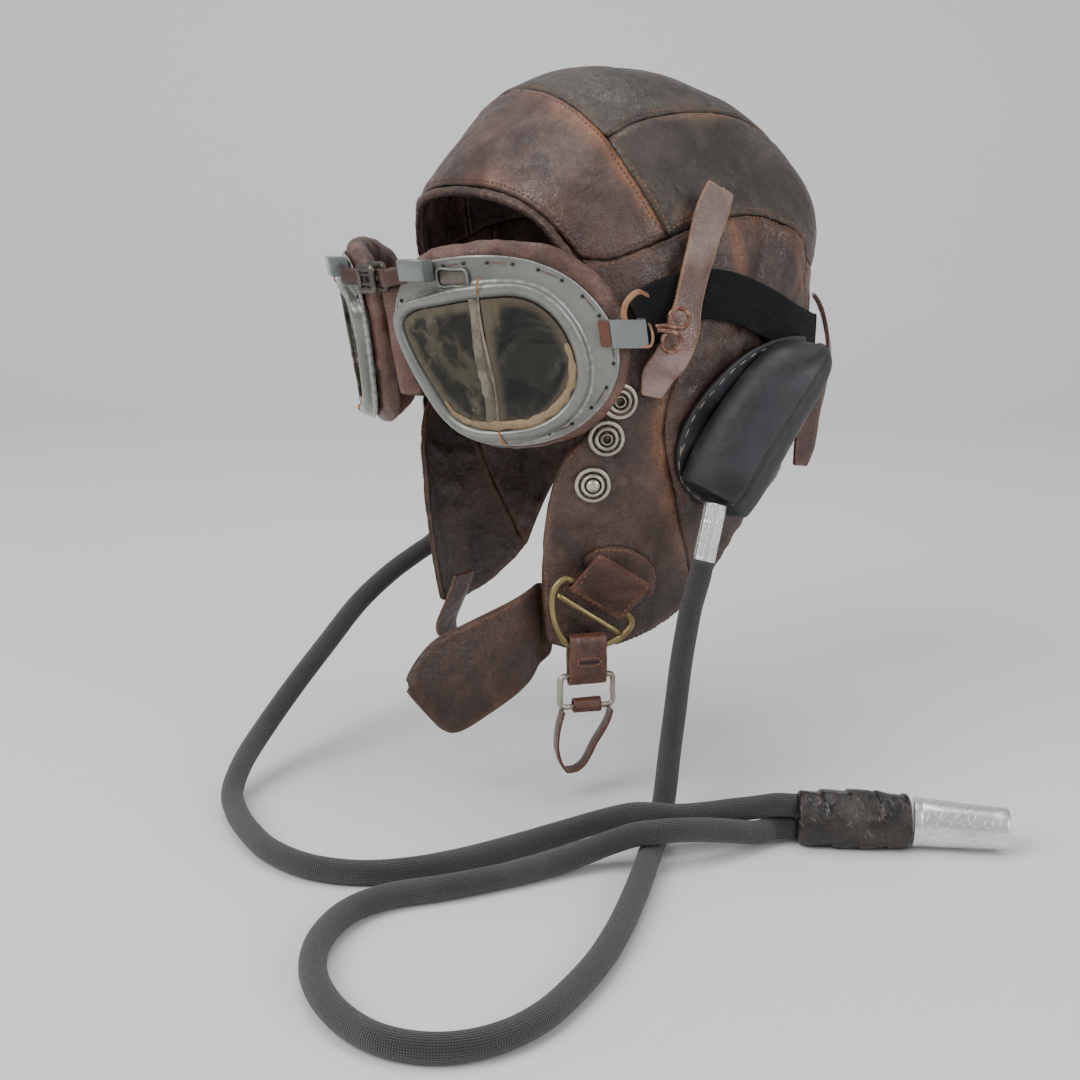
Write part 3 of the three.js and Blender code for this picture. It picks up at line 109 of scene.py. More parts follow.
class Finish:
    """A material under construction, with one method for every kind of node."""

    def __init__(self, name):
        self.material = bpy.data.materials.new(name)
        self.material.use_nodes = True
        self.tree = self.material.node_tree
        self.tree.nodes.clear()

    def node(self, kind, settings=None, inputs=None, out=0):
        node = self.tree.nodes.new(kind)
        for key, value in (settings or {}).items():
            setattr(node, key, value)
        for key, value in (inputs or {}).items():
            if isinstance(value, Wire):
                self.tree.links.new(value.socket, node.inputs[key])
            else:
                node.inputs[key].default_value = value
        return Wire(self, node.outputs[out] if node.outputs else None)

    def split(self, value):
        node = self.tree.nodes.new("ShaderNodeSeparateXYZ")
        self.tree.links.new(value.socket, node.inputs[0])
        return [Wire(self, socket) for socket in node.outputs]

    def place(self):
        return self.node("ShaderNodeTexCoord", out="Object")

    def cloud(self, scale, detail=3.0, rough=0.55, where=None, warp=0.0):
        return self.node("ShaderNodeTexNoise", None, {"Vector": where or self.place(), "Scale": scale,
                         "Detail": detail, "Roughness": rough, "Distortion": warp}, out="Fac")

    def cells(self, scale, feature="F1", where=None, out="Distance"):
        return self.node("ShaderNodeTexVoronoi", {"feature": feature}, {"Vector": where or self.place(),
                         "Scale": scale}, out=out)

    def wave(self, value):
        return self.node("ShaderNodeMath", {"operation": "SINE"}, {0: value})

    def attribute(self, name):
        return self.node("ShaderNodeAttribute", {"attribute_name": name}, out="Fac")

    def between(self, value, low, high, to_low=0.0, to_high=1.0):
        return self.node("ShaderNodeMapRange", {"interpolation_type": "SMOOTHSTEP"}, {
            "Value": value, "From Min": low, "From Max": high, "To Min": to_low, "To Max": to_high})

    def blend(self, share, first, second):
        inputs = {0: share, 6: first if isinstance(first, Wire) else (*first, 1.0),
                  7: second if isinstance(second, Wire) else (*second, 1.0)}
        return self.node("ShaderNodeMix", {"data_type": "RGBA"}, inputs, out=2)

    def bump(self, height, depth, under=None, strength=1.0):
        inputs = {"Strength": strength, "Distance": depth, "Height": height}
        if under:
            inputs["Normal"] = under
        return self.node("ShaderNodeBump", None, inputs)

    def done(self, **sockets):
        shader = self.node("ShaderNodeBsdfPrincipled", None,
                           {key.replace("_", " "): (*value, 1.0) if isinstance(value, tuple) else value
                            for key, value in sockets.items()})
        self.node("ShaderNodeOutputMaterial", None, {"Surface": shader})
        return self.material


def stand_finish():
    finish = Finish("stand")
    mottle = finish.cloud(1.3, 3.0)
    colour = finish.blend(mottle, (0.70, 0.695, 0.69), (0.76, 0.755, 0.745))
    return finish.done(Base_Color=colour, Roughness=0.62)


def lamp(name, place, target, size, power, colour):
    data = bpy.data.lights.new(name, "AREA")
    data.size = size
    data.energy = power
    data.color = colour
    light = added(name, data)
    light.location = place
    light.rotation_euler = (Vector(target) - Vector(place)).to_track_quat("-Z", "Y").to_euler()


sweep = bmesh.new()
across_view = Vector((math.cos(view_turn), math.sin(view_turn), 0.0))
along_view = Vector((-math.sin(view_turn), math.cos(view_turn), 0.0))
profile = [(-3.0, 0.0), (1.1, 0.0)]
profile += [(1.1 + 0.6 * math.sin(turn * math.pi / 24), 0.6 - 0.6 * math.cos(turn * math.pi / 24))
            for turn in range(1, 13)]
profile += [(1.7, 3.2)]
rows = []
for away, up in profile:
    rows.append([sweep.verts.new(along_view * away + across_view * side + Vector((0, 0, floor_z + up)))
                 for side in (-3.5, 3.5)])
for low, high in zip(rows, rows[1:]):
    sweep.faces.new((low[0], low[1], high[1], high[0]))
bmesh.ops.recalc_face_normals(sweep, faces=sweep.faces)
floor = shown("floor", sweep)
floor.data.shade_smooth()
floor.data.materials.append(stand_finish())
lamp("window", (0.05, -1.35, 0.95), (0.0, 0.0, -0.12), 1.2, 25, (1.0, 0.985, 0.96))
lamp("fill", (1.5, 0.5, 0.55), (0.0, 0.0, -0.15), 0.9, 12, (0.95, 0.97, 1.0))
lamp("overhead", (-0.2, 0.1, 1.6), (0.0, 0.0, -0.1), 1.0, 11, (1.0, 1.0, 1.0))
world = bpy.data.worlds.new("studio")
world.use_nodes = True
world.node_tree.nodes["Background"].inputs["Color"].default_value = (0.86, 0.88, 0.90, 1.0)
world.node_tree.nodes["Background"].inputs["Strength"].default_value = 0.62
bpy.context.scene.world = world

# The two speaking tubes: rubber tubing under a dark woven braid, pushed over
# the metal stub below each ear cup and brought together in a taped joint.
# They hang down, lie on the table and cross each other on the way.
tube_thickness = 9.2
lying = -302.5 + tube_thickness / 2 + 0.1
joint_turn = math.radians(49.5)
joint_start = Vector((146.3, -8.0, -302.5 + 10.2 + 0.2))
joint_run = Vector((math.cos(joint_turn), math.sin(joint_turn), 0.0))
stub_top = Vector((93.5, -7.5, -175.4))
stub_down = Vector((0.0, -0.243, -0.97)).normalized()
stub_length = 23.8
tube_start = stub_top + stub_down * (stub_length + 0.35)
stacked = Vector((0.0, 0.0, tube_thickness / 2 + 0.2))
tube_end = joint_start - joint_run * 0.35

left_route = [tube_start, tube_start + stub_down * 7, (94, -19.6, -217), (94.4, -22.2, -227),
              (95.4, -25.6, -240), (98.2, -30.4, -257), (102, -36.2, -273), (106.8, -42.2, -286.8),
              (112.5, -49.3, -295.6),
              (121.5, -59.5, lying), (131.4, -70.2, lying), (152.7, -93.9, lying), (171.1, -116.1, lying),
              (184, -134.3, lying), (193.5, -151.2, lying), (200.3, -166.7, lying), (203, -180.9, lying),
              (201.7, -193.1, lying), (197.1, -203, lying), (189.2, -210.9, lying), (179.4, -215.8, lying),
              (165.8, -217.9, lying), (150.9, -216.7, lying), (136.5, -212.5, lying), (123.5, -205, lying),
              (113.2, -195, lying), (105.6, -182, lying), (104.1, -167.6, lying), (110, -145.7, lying),
              (115, -118, lying), (118, -98, -296.6), (122.5, -82, -292.6), (127.8, -74.3, -289.4),
              (132.3, -69.8, -288), (135.6, -62, -288), (138.4, -53, -289), (140, -43.5, -291),
              (141, -34, -293.6), (141.2, -24, -296.3), tube_end - joint_run * 8 - stacked,
              tube_end - stacked]
right_route = [(-tube_start.x, tube_start.y, tube_start.z), (-93.4, -14.9, -205), (-92.4, -20.5, -213.5),
               (-89.5, -31, -221), (-85.5, -44.5, -225.5), (-80, -61, -231), (-72, -83, -241),
               (-62, -105, -254.5), (-52, -127, -268.5), (-41, -147, -281), (-29, -163.5, -290.5),
               (-14, -175, -296.3), (3, -180.5, lying), (22, -184, lying), (44, -185, lying),
               (66, -179, lying), (81.5, -166, lying), (90, -149, lying), (94, -128, lying),
               (95, -103, lying), (97.5, -84, -296.4), (104, -70, -293), (112, -62.5, -289.6),
               (119.5, -59, -287.9), (124.3, -54.5, -287.9),
               (126.8, -46, -288.8), (129, -37, -289.3), (132, -28.5, -289.1), (136.3, -20.6, -288.5),
               tube_end - joint_run * 8 + stacked, tube_end + stacked]


def through(points, closed=False, gap=1.0):
    """A smooth centripetal curve through chosen points, sampled about every gap millimetres."""
    points = [Vector(point) for point in points]
    count = len(points)
    if closed:
        points = [points[-1], *points, points[0], points[1]]
    else:
        points = [points[0] * 2 - points[1], *points, points[-1] * 2 - points[-2]]
    samples = []
    for k in range(count if closed else count - 1):
        a, b, c, d = points[k:k + 4]
        t1 = max((b - a).length ** 0.5, 1e-4)
        t2 = t1 + max((c - b).length ** 0.5, 1e-4)
        t3 = t2 + max((d - c).length ** 0.5, 1e-4)
        steps = max(2, round((c - b).length / gap))
        for step in range(steps):
            t = t1 + (t2 - t1) * step / steps
            ab = a.lerp(b, t / t1)
            bc = b.lerp(c, (t - t1) / (t2 - t1))
            cd = c.lerp(d, (t - t2) / (t3 - t2))
            abc = ab.lerp(bc, t / t2)
            bcd = bc.lerp(cd, (t - t1) / (t3 - t1))
            samples.append(abc.lerp(bcd, (t - t1) / (t2 - t1)))
    if not closed:
        samples.append(points[-2])
    return samples


def swept(name, path, radius, sides=16, closed=False, shape=None, start_side=None):
    """A tube along a path in millimetres, with its length and turn kept as a UV map in metres."""
    count = len(path)
    body = bmesh.new()
    layer = body.loops.layers.uv.new("length and turn")
    rings, lengths, run = [], [], 0.0
    side = None
    for k, point in enumerate(path):
        before = path[k - 1] if closed or k else path[0]
        after = path[(k + 1) % count] if closed or k < count - 1 else path[-1]
        tangent = (after - before).normalized()
        if side is None:
            side = Vector(start_side) if start_side else tangent.orthogonal()
        side = (side - tangent * side.dot(tangent)).normalized()
        up = tangent.cross(side)
        if k:
            run += (point - path[k - 1]).length
        lengths.append(run)
        ring = []
        for turn in range(sides):
            angle = 2 * math.pi * turn / sides
            reach = radius(run, angle) if callable(radius) else radius
            wide, tall = shape or (1.0, 1.0)
            ring.append(body.verts.new((point + side * (math.cos(angle) * reach * wide)
                                        + up * (math.sin(angle) * reach * tall)) * MM))
        rings.append(ring)
    pairs = list(zip(range(count), range(1, count))) + ([(count - 1, 0)] if closed else [])
    for a, b in pairs:
        far = lengths[b] if b else run + (path[0] - path[-1]).length
        for turn in range(sides):
            nxt = (turn + 1) % sides
            face = body.faces.new((rings[a][turn], rings[a][nxt], rings[b][nxt], rings[b][turn]))
            face.smooth = True
            for loop, (u, v) in zip(face.loops, ((lengths[a], turn), (lengths[a], turn + 1), (far, turn + 1),
                                                 (far, turn))):
                loop[layer].uv = (u * MM, v / sides)
    if not closed:
        body.faces.new(list(reversed(rings[0])))
        body.faces.new(rings[-1])
    return shown(name, body)


def finished(piece, material, slot, *nodes):
    """Gives a piece its finish, rides it on the helmet and puts it in place of CAD solids. The slot is not
    used.
    """
    piece.data.materials.clear()
    piece.data.materials.append(material)
    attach(piece, "root")
    if nodes:
        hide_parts(*nodes)
    return piece


def braid_finish():
    finish = Finish("woven braid")
    uv = finish.node("ShaderNodeUVMap", {"uv_map": "length and turn"})
    run, turn, _ = finish.split(uv)
    strands = 18.0
    pitch = 2 * math.pi * strands / 0.028
    rising = finish.wave(run * pitch + turn * (2 * math.pi * strands))
    falling = finish.wave(run * pitch - turn * (2 * math.pi * strands))
    weave = finish.between(rising * falling, -0.6, 0.6)
    dirt = finish.cloud(26.0, 4.0)
    fuzz = finish.cloud(2200.0, 2.0)
    colour = finish.blend(weave, (0.006, 0.0055, 0.0055), (0.034, 0.031, 0.029))
    colour = finish.blend(finish.between(dirt, 0.48, 0.72, 0.0, 0.5), colour, (0.050, 0.045, 0.040))
    colour = finish.blend(finish.between(fuzz, 0.62, 0.78, 0.0, 0.3), colour, (0.12, 0.11, 0.10))
    height = finish.bump(weave * 0.8 + fuzz * 0.3, 0.0005)
    return finish.done(Base_Color=colour, Roughness=0.86, Normal=height, Sheen_Weight=0.25,
                       Sheen_Roughness=0.5)


braid = braid_finish()
hoses = []
for name, route in (("left", left_route), ("right", right_route)):
    path = through(route, gap=2.0)
    hose = swept("speaking_tube_" + name, path, lambda run, angle: tube_thickness / 2, sides=20)
    finished(hose, braid, "braid", "hose_" + name)
    hoses.append((name, hose, path))

# The joint: both tube ends bound together with overlapping turns of dark
# sticky tape, and a bright tapered metal connector pushed into its end.


def turned(name, outline, start, heading, sides=48, shape=None):
    """A body turned about a heading from rows of radius and distance along, all in millimetres."""
    heading = Vector(heading).normalized()
    side = heading.orthogonal().normalized()
    up = heading.cross(side)
    body = bmesh.new()
    rings = []
    for radius, along in outline:
        centre = Vector(start) + heading * along
        if radius <= 0:
            rings.append([body.verts.new(centre * MM)])
            continue
        ring = []
        for k in range(sides):
            angle = 2 * math.pi * k / sides
            reach = radius + (shape(radius, along, angle) if shape else 0.0)
            ring.append(body.verts.new((centre + side * (math.cos(angle) * reach)
                                        + up * (math.sin(angle) * reach)) * MM))
        rings.append(ring)
    for a, b in zip(rings, rings[1:]):
        for k in range(sides):
            n = (k + 1) % sides
            corners = [a[k % len(a)], a[n % len(a)], b[n % len(b)], b[k % len(b)]]
            face = body.faces.new(list(dict.fromkeys(corners)))
            face.smooth = True
    for ring in (rings[0], rings[-1]):
        if len(ring) > 1:
            body.faces.new(ring)
    bmesh.ops.recalc_face_normals(body, faces=body.faces)
    return shown(name, body)


def sharpened(piece, degrees=40.0):
    """Keeps edges that turn more than so many degrees crisp and shades the rest smoothly."""
    piece.data.shade_smooth()
    piece.data.set_sharp_from_angle(angle=math.radians(degrees))
    return piece


tape_length = 43.0
tape_radius = 10.2


def tape_wraps(radius, along, angle):
    """Each turn of tape climbs over the one before it, with a few wrinkles pulled across."""
    if along <= 0.5 or along >= tape_length - 0.5:
        return 0.0
    spiral = (along / 10.5 - angle / (2 * math.pi)) % 1.0
    step = 0.75 * (1.0 - spiral) if spiral > 0.06 else 0.75 * spiral / 0.06
    spot = Vector((math.cos(angle) * 1.6, math.sin(angle) * 1.6, along * 0.11))
    middle = math.sin(math.pi * along / tape_length)
    flat = -0.5 * math.cos(2 * angle) * middle
    return step - 0.25 + 0.55 * noise.noise(spot) + 0.28 * noise.noise(spot * 3.1) + 0.5 * middle + flat


def tape_finish():
    finish = Finish("wrapped tape")
    place = finish.place()
    dust = finish.cloud(70.0, 5.0, 0.6, place)
    crease = finish.cloud(190.0, 3.0, 0.6, place, 1.2)
    colour = finish.blend(finish.between(dust, 0.42, 0.7), (0.010, 0.008, 0.007), (0.042, 0.031, 0.025))
    colour = finish.blend(finish.between(crease, 0.60, 0.70, 0.0, 0.5), colour, (0.16, 0.13, 0.11))
    height = finish.bump(crease + finish.cloud(900.0, 2.0, 0.5, place) * 0.3, 0.0006)
    return finish.done(Base_Color=colour, Normal=height,
                       Roughness=finish.between(dust, 0.3, 0.7, 0.22, 0.52))


tape_rows = [(0.0, 0.0), (tape_radius * 0.9, 0.0), (tape_radius * 0.97, 0.5)]
tape_rows += [(tape_radius * (0.985 if k % 2 else 1.0), 0.5 + k * (tape_length - 1.0) / 84)
              for k in range(1, 84)]
tape_rows += [(tape_radius * 0.99, tape_length - 0.5), (tape_radius * 0.9, tape_length), (0.0, tape_length)]
tape_piece = turned("tape_joint_wraps", tape_rows, joint_start, joint_run, 72, tape_wraps)
for vert in tape_piece.data.vertices:
    vert.co.z = max(vert.co.z, floor_z + 0.1 * MM)
sharpened(finished(tape_piece, tape_finish(), "tape", "tape_joint"), 60)

connector_turn = math.radians(45.5)
connector_start = joint_start + joint_run * (tape_length + 0.35 + 0.8)
connector_tip = connector_start + Vector((math.cos(connector_turn), math.sin(connector_turn), -0.02)) * 36
connector_run = (connector_tip - connector_start).normalized()
connector_rows = [(0, 0), (9.2, 0), (9.6, 0.4), (9.6, 2.6), (9.45, 3.0), (9.3, 3.2), (9.35, 3.6), (9.0, 11.0),
                  (8.6, 20.0), (8.2, 29.0), (8.05, 31.5), (8.2, 32.0), (8.2, 34.8), (8.0, 35.5), (7.6, 35.9),
                  (6.6, 35.9), (6.25, 35.4), (6.2, 28.0), (6.2, 16.2), (0, 16.0)]


def bright_metal(name, base, shade, rough=0.22, scratch=0.5):
    finish = Finish(name)
    place = finish.place()
    smear = finish.cloud(75.0, 4.0, 0.6, place)
    nicks = finish.cells(420.0, "DISTANCE_TO_EDGE", finish.node("ShaderNodeMapping", None, {
        "Vector": place, "Scale": (1.0, 0.35, 1.0)}))
    pits = finish.cloud(1300.0, 2.0, 0.5, place)
    colour = finish.blend(finish.between(smear, 0.35, 0.75), base, shade)
    colour = finish.blend(finish.between(nicks, 0.0, 0.035, scratch, 0.0), colour,
                          tuple(value * 0.55 for value in shade))
    height = finish.bump(pits * 0.6 - finish.between(nicks, 0.0, 0.03, 0.5, 0.0), 0.00008)
    return finish.done(Base_Color=colour, Metallic=1.0, Normal=height,
                       Roughness=finish.between(smear, 0.3, 0.8, rough, rough + 0.22))


bright = bright_metal("bright aluminium", (0.86, 0.86, 0.85), (0.62, 0.61, 0.59))
connector = turned("tube_connector_turned", connector_rows, connector_start, connector_run, 64)
sharpened(finished(connector, bright, "aluminium", "tube_connector"), 35)

for name, hose, path in hoses:
    length = sum((b - a).length for a, b in zip(path, path[1:]))
    tuple(path[0] * MM)
    [tuple(point * MM) for point in path]

# The helmet shell: nine panels of brown chrome leather, lined, seamed edge to
# edge and stitched down on both sides of each seam. The front panel and the
# seam edges are rubbed through to rust and tan, the crown is darker.
head_middle = Vector((0.0, 12.0, -120.0)) * MM


def plain_copy(node):
    """The CAD solid of a node as one closed mesh of mostly four-sided faces."""
    body = bmesh.new()
    body.from_mesh(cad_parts[node].data)
    bmesh.ops.remove_doubles(body, verts=body.verts, dist=2e-6)
    bmesh.ops.join_triangles(body, faces=body.faces, angle_face_threshold=0.5, angle_shape_threshold=1.4,
                             cmp_seam=False, cmp_sharp=False, cmp_uvs=False, cmp_vcols=False,
                             cmp_materials=False)
    return body


def outward(face):
    return face.normal.dot((face.calc_center_median() - head_middle).normalized())


def outlines(body):
    """The edge lines of the outer face, as lists of points in order, each with whether it closes."""
    least, fold = 0.30, 0.55
    joins = {}
    for edge in body.edges:
        if len(edge.link_faces) != 2:
            continue
        first, second = (outward(face) for face in edge.link_faces)
        if (first > least) != (second > least) and edge.calc_face_angle(0.0) > fold:
            for vert, other in (edge.verts, reversed(edge.verts)):
                joins.setdefault(vert, []).append(other)
    lines = []
    left = set(joins)
    while left:
        start = next((vert for vert in sorted(left, key=lambda v: v.index) if len(joins[vert]) == 1), None)
        start = start or min(left, key=lambda v: v.index)
        line = [start]
        left.discard(start)
        while True:
            following = [vert for vert in joins[line[-1]] if vert in left]
            if not following:
                break
            line.append(following[0])
            left.discard(following[0])
        if len(line) > 3:
            closed = line[0] in joins[line[-1]]
            lines.append(([vert.co.copy() for vert in line], closed))
    return lines


def settled(piece):
    """Keeps what a piece's modifiers make of it as its own mesh, and drops them."""
    made = bpy.data.meshes.new_from_object(piece.evaluated_get(bpy.context.evaluated_depsgraph_get()))
    piece.modifiers.clear()
    piece.data = made
    return made


def softened(node, name, level=2, crease=0.75, sharp=0.6):
    """A smoother copy of a CAD solid that keeps its cut edges and knows how far each point is from them."""
    body = plain_copy(node)
    body.verts.index_update()
    lines = outlines(body)
    layer = body.edges.layers.float.new("crease_edge")
    rim = []
    for edge in body.edges:
        if len(edge.link_faces) == 2 and edge.calc_face_angle(0.0) > sharp:
            edge[layer] = crease
            a, b = (vert.co for vert in edge.verts)
            steps = max(1, int((b - a).length / 0.0015))
            rim += [a.lerp(b, k / steps) for k in range(steps + 1)]
    piece = shown(name, body)
    smoother = piece.modifiers.new("smooth", "SUBSURF")
    smoother.levels = smoother.render_levels = level
    fine = settled(piece)
    fine.shade_smooth()
    tree = KDTree(max(1, len(rim)))
    for k, point in enumerate(rim):
        tree.insert(point, k)
    tree.balance()
    edge_gap = fine.attributes.new("edge_gap", "FLOAT", "POINT")
    edge_gap.data.foreach_set("value", [tree.find(vert.co)[2] if rim else 1.0 for vert in fine.vertices])
    return piece, lines


def marked(piece, gap=None):
    """Gives a piece the values that its finish reads: nothing rubbed, one distance to an edge (m)."""
    if gap:
        values = [gap] * len(piece.data.vertices)
        piece.data.attributes.new("edge_gap", "FLOAT", "POINT").data.foreach_set("value", values)
    piece.data.attributes.new("rubbed", "FLOAT", "POINT")
    return piece


def moved(piece, shift):
    """Moves every point by what shift gives for its place, its normal and its distance to an edge."""
    mesh = piece.data
    gaps = [item.value for item in mesh.attributes["edge_gap"].data]
    normals = [vert.normal.copy() for vert in mesh.vertices]
    for vert, normal, gap in zip(mesh.vertices, normals, gaps):
        vert.co = vert.co + shift(vert.co, normal, gap)
    mesh.update()


def leather_finish(name, dark, base, light, rust, rub=0.5, grain=1.0, gloss=0.42, band=0.0, cut=None):
    """Grained leather: cloudy dye, rubbed high spots, an edge colour, pores and fine creases."""
    finish = Finish(name)
    place = finish.place()
    gap = finish.attribute("edge_gap")
    broad = finish.cloud(15.0, 5.0, 0.58, place, 0.7)
    patch = finish.cloud(42.0, 5.0, 0.64, place, 0.5)
    fleck = finish.cloud(330.0, 4.0, 0.65, place)
    rubbed = finish.cloud(105.0, 5.0, 0.66, place, 0.3)
    colour = finish.blend(finish.between(broad, 0.40, 0.60), dark, base)
    colour = finish.blend(finish.between(patch, 0.46, 0.70, 0.0, rub), colour, light)
    colour = finish.blend(finish.between(fleck, 0.54, 0.76, 0.0, 0.35), colour,
                          tuple(value * 0.42 for value in dark))
    near = finish.between(gap + rubbed * 0.006, 0.0034, 0.0078, 1.0, 0.0)
    colour = finish.blend(near * finish.between(rubbed * 0.6 + patch * 0.4, 0.42, 0.60, 0.05, 0.75)
                          * (0.45 + band), colour, rust)
    worn = finish.attribute("rubbed")
    scuffs = finish.between(patch * 0.45 + rubbed * 0.55, 0.36, 0.58, 0.25, 1.0)
    colour = finish.blend(worn * scuffs, colour, rust)
    edge = finish.between(gap, 0.0005, 0.0013, 0.85 if cut else 0.7, 0.0)
    colour = finish.blend(edge, colour, cut or tuple(value * 0.4 for value in dark))
    pores = finish.cells(760.0, "DISTANCE_TO_EDGE", place)
    cracks = finish.cloud(150.0, 5.0, 0.7, place, 1.6)
    crack_line = finish.between(finish.node("ShaderNodeMath", {"operation": "ABSOLUTE"}, {0: cracks - 0.5}),
                                0.0, 0.035, 0.0, 1.0)
    tooth = finish.between(pores, 0.0, 0.22)
    colour = finish.blend((1.0 - crack_line) * 0.22, colour, tuple(value * 0.3 for value in dark))
    colour = finish.blend((1.0 - tooth) * 0.20, colour, tuple(value * 0.35 for value in dark))
    height = finish.bump(tooth * (0.45 * grain) + crack_line * (0.6 * grain) + fleck * 0.4, 0.00016,
                         None, 0.7)
    height = finish.bump(patch + rubbed * 0.55, 0.0019, height, 0.75)
    rough = finish.between(patch * 0.6 + fleck * 0.4, 0.36, 0.66, gloss, gloss + 0.3)
    return finish.done(Base_Color=colour, Roughness=rough, Normal=height)


def soft_noise(point, size, seed=0.0):
    return noise.noise(point / (size * MM) + Vector((seed, seed * 1.7, -seed)))


def shell_shift(pucker, folds, seed):
    """Seam puckers, a lifted ridge beside each seam, a closed seam and slow dents, through the whole wall."""
    def shift(place, normal, gap):
        away = place - head_middle
        away.normalize()
        near = gap / MM
        ridge = 0.42 * math.exp(-((near - 4.2) / 2.2) ** 2) - 0.35 * math.exp(-(near / 1.3) ** 2)
        ripple = soft_noise(place, 4.2, seed) * math.exp(-((near - 3.0) / 4.5) ** 2) * pucker
        dent = soft_noise(place, 34.0, seed) * 1.0 + soft_noise(place, 13.0, seed + 3) * 0.45
        crease = abs(soft_noise(place, 21.0, seed + 9))
        fold = -folds * math.exp(-(crease / 0.07) ** 2)
        hold = min(near / 9.0, 1.0)
        sideways = normal - away * normal.dot(away)
        closed = 0.95 * math.exp(-(near / 0.7) ** 2)
        return away * ((ridge + ripple + (dent + fold) * hold) * MM) + sideways * (closed * MM)
    return shift


def rub_along(piece, line, width, strength=1.0):
    """Marks how far a panel is rubbed through along a line of points in millimetres."""
    points = through(line, gap=3.0)
    tree = KDTree(len(points))
    for k, point in enumerate(points):
        tree.insert(point * MM, k)
    tree.balance()
    rubbed = piece.data.attributes["rubbed"]
    for vert in piece.data.vertices:
        far = tree.find(vert.co)[2] / MM
        value = strength * math.exp(-(far / width) ** 2)
        rubbed.data[vert.index].value = max(rubbed.data[vert.index].value, value)


front_finish = leather_finish("front leather", (0.040, 0.020, 0.017), (0.096, 0.053, 0.043),
                              (0.175, 0.108, 0.088), (0.27, 0.112, 0.052), 0.65, 0.6, 0.27, 0.15)
crown_finish = leather_finish("crown leather", (0.024, 0.0150, 0.0115), (0.052, 0.0365, 0.029),
                              (0.100, 0.074, 0.053), (0.215, 0.105, 0.055), 0.6, 0.7, 0.34, 0.05)
side_finish = leather_finish("cheek leather", (0.030, 0.0155, 0.012), (0.082, 0.044, 0.034),
                             (0.150, 0.088, 0.064), (0.25, 0.108, 0.052), 0.6, 0.8, 0.24, 0.15)
shell_pieces = {}
shell_lines = {}
for node, title, finish, pucker, folds, seed in (
        ("front_panel", "front_leather", front_finish, 0.55, 0.7, 1.0),
        ("crown_centre", "crown_centre_leather", crown_finish, 0.5, 0.7, 2.0),
        ("crown_side_left", "crown_side_leather_left", crown_finish, 0.5, 0.6, 3.0),
        ("crown_side_right", "crown_side_leather_right", crown_finish, 0.5, 0.6, 4.0),
        ("cheek_left", "cheek_leather_left", side_finish, 0.9, 1.3, 5.0),
        ("cheek_right", "cheek_leather_right", side_finish, 0.9, 1.3, 6.0),
        ("ear_panel_left", "ear_leather_left", side_finish, 1.1, 1.4, 7.0),
        ("ear_panel_right", "ear_leather_right", side_finish, 1.1, 1.4, 8.0),
        ("neck_panel", "neck_leather", side_finish, 0.6, 1.0, 9.0)):
    piece, lines = softened(node, title, 2)
    moved(piece, shell_shift(pucker, folds, seed))
    shell_pieces[node] = piece
    shell_lines[node] = lines
    finished(marked(piece), finish, "crown_leather", node)

rubbed_lines = [
    {"panel": "front_panel", "width": 4.5, "strength": 0.95,
     "line": [(-3.6, -36.2, -7.7), (18.5, -37.4, -10.9), (32.1, -33.6, -15.2), (47.5, -33.6, -28.0)]},
    {"panel": "front_panel", "width": 5.0, "strength": 1.0,
     "line": [(30.3, -39.8, -18.5), (36.0, -37.0, -21.0), (47.5, -34.5, -29.0)]},
    {"panel": "front_panel", "width": 4.0, "strength": 1.0,
     "line": [(47.5, -34.5, -28.0), (59.5, -31.5, -40.7), (67.9, -27.0, -53.0), (73.2, -22.0, -65.0)]},
    {"panel": "front_panel", "width": 6.0, "strength": 0.28,
     "line": [(11.1, -70.8, -45.9), (37.9, -64.6, -51.4), (53.8, -56.6, -65.6)]},
    {"panel": "crown_side_left", "width": 3.2, "strength": 0.7,
     "line": [(51.8, -2.8, -20.9), (51.9, 15.8, -20.6), (47.9, 36.1, -20.3)]},
    {"panel": "crown_side_left", "width": 3.0, "strength": 0.6,
     "line": [(74.5, -13.0, -62.0), (76.1, 12.0, -61.7), (75.5, 34.8, -64.5), (71.5, 56.5, -72.0)]},
    {"panel": "ear_panel_left", "width": 3.2, "strength": 0.9,
     "line": [(76.8, 13.1, -64.5), (78.6, 14.5, -73.6), (79.8, 16.0, -83.6)]},
    {"panel": "ear_panel_left", "width": 3.0, "strength": 0.7,
     "line": [(73.9, 45.0, -65.7), (74.1, 49.4, -76.1), (71.2, 57.8, -90.9)]},
    {"panel": "ear_panel_left", "width": 5.0, "strength": 0.5,
     "line": [(76.1, 12.0, -63.0), (75.5, 34.8, -66.5), (71.5, 56.5, -74.0)]},
    {"panel": "cheek_left", "width": 4.5, "strength": 0.7,
     "line": [(77.2, -21.9, -132.2), (76.2, -22.8, -146.4), (75.6, -19.2, -163.2), (74.2, -13.9, -180.6),
              (70.1, 0.1, -204.5)]},
]
for row in rubbed_lines:
    rub_along(shell_pieces[row["panel"]], row["line"], row["width"], row["strength"])

# Seam stitching: waxed tan thread, one row on each side of every seam and one
# along every free edge, about ten stitches to the inch.


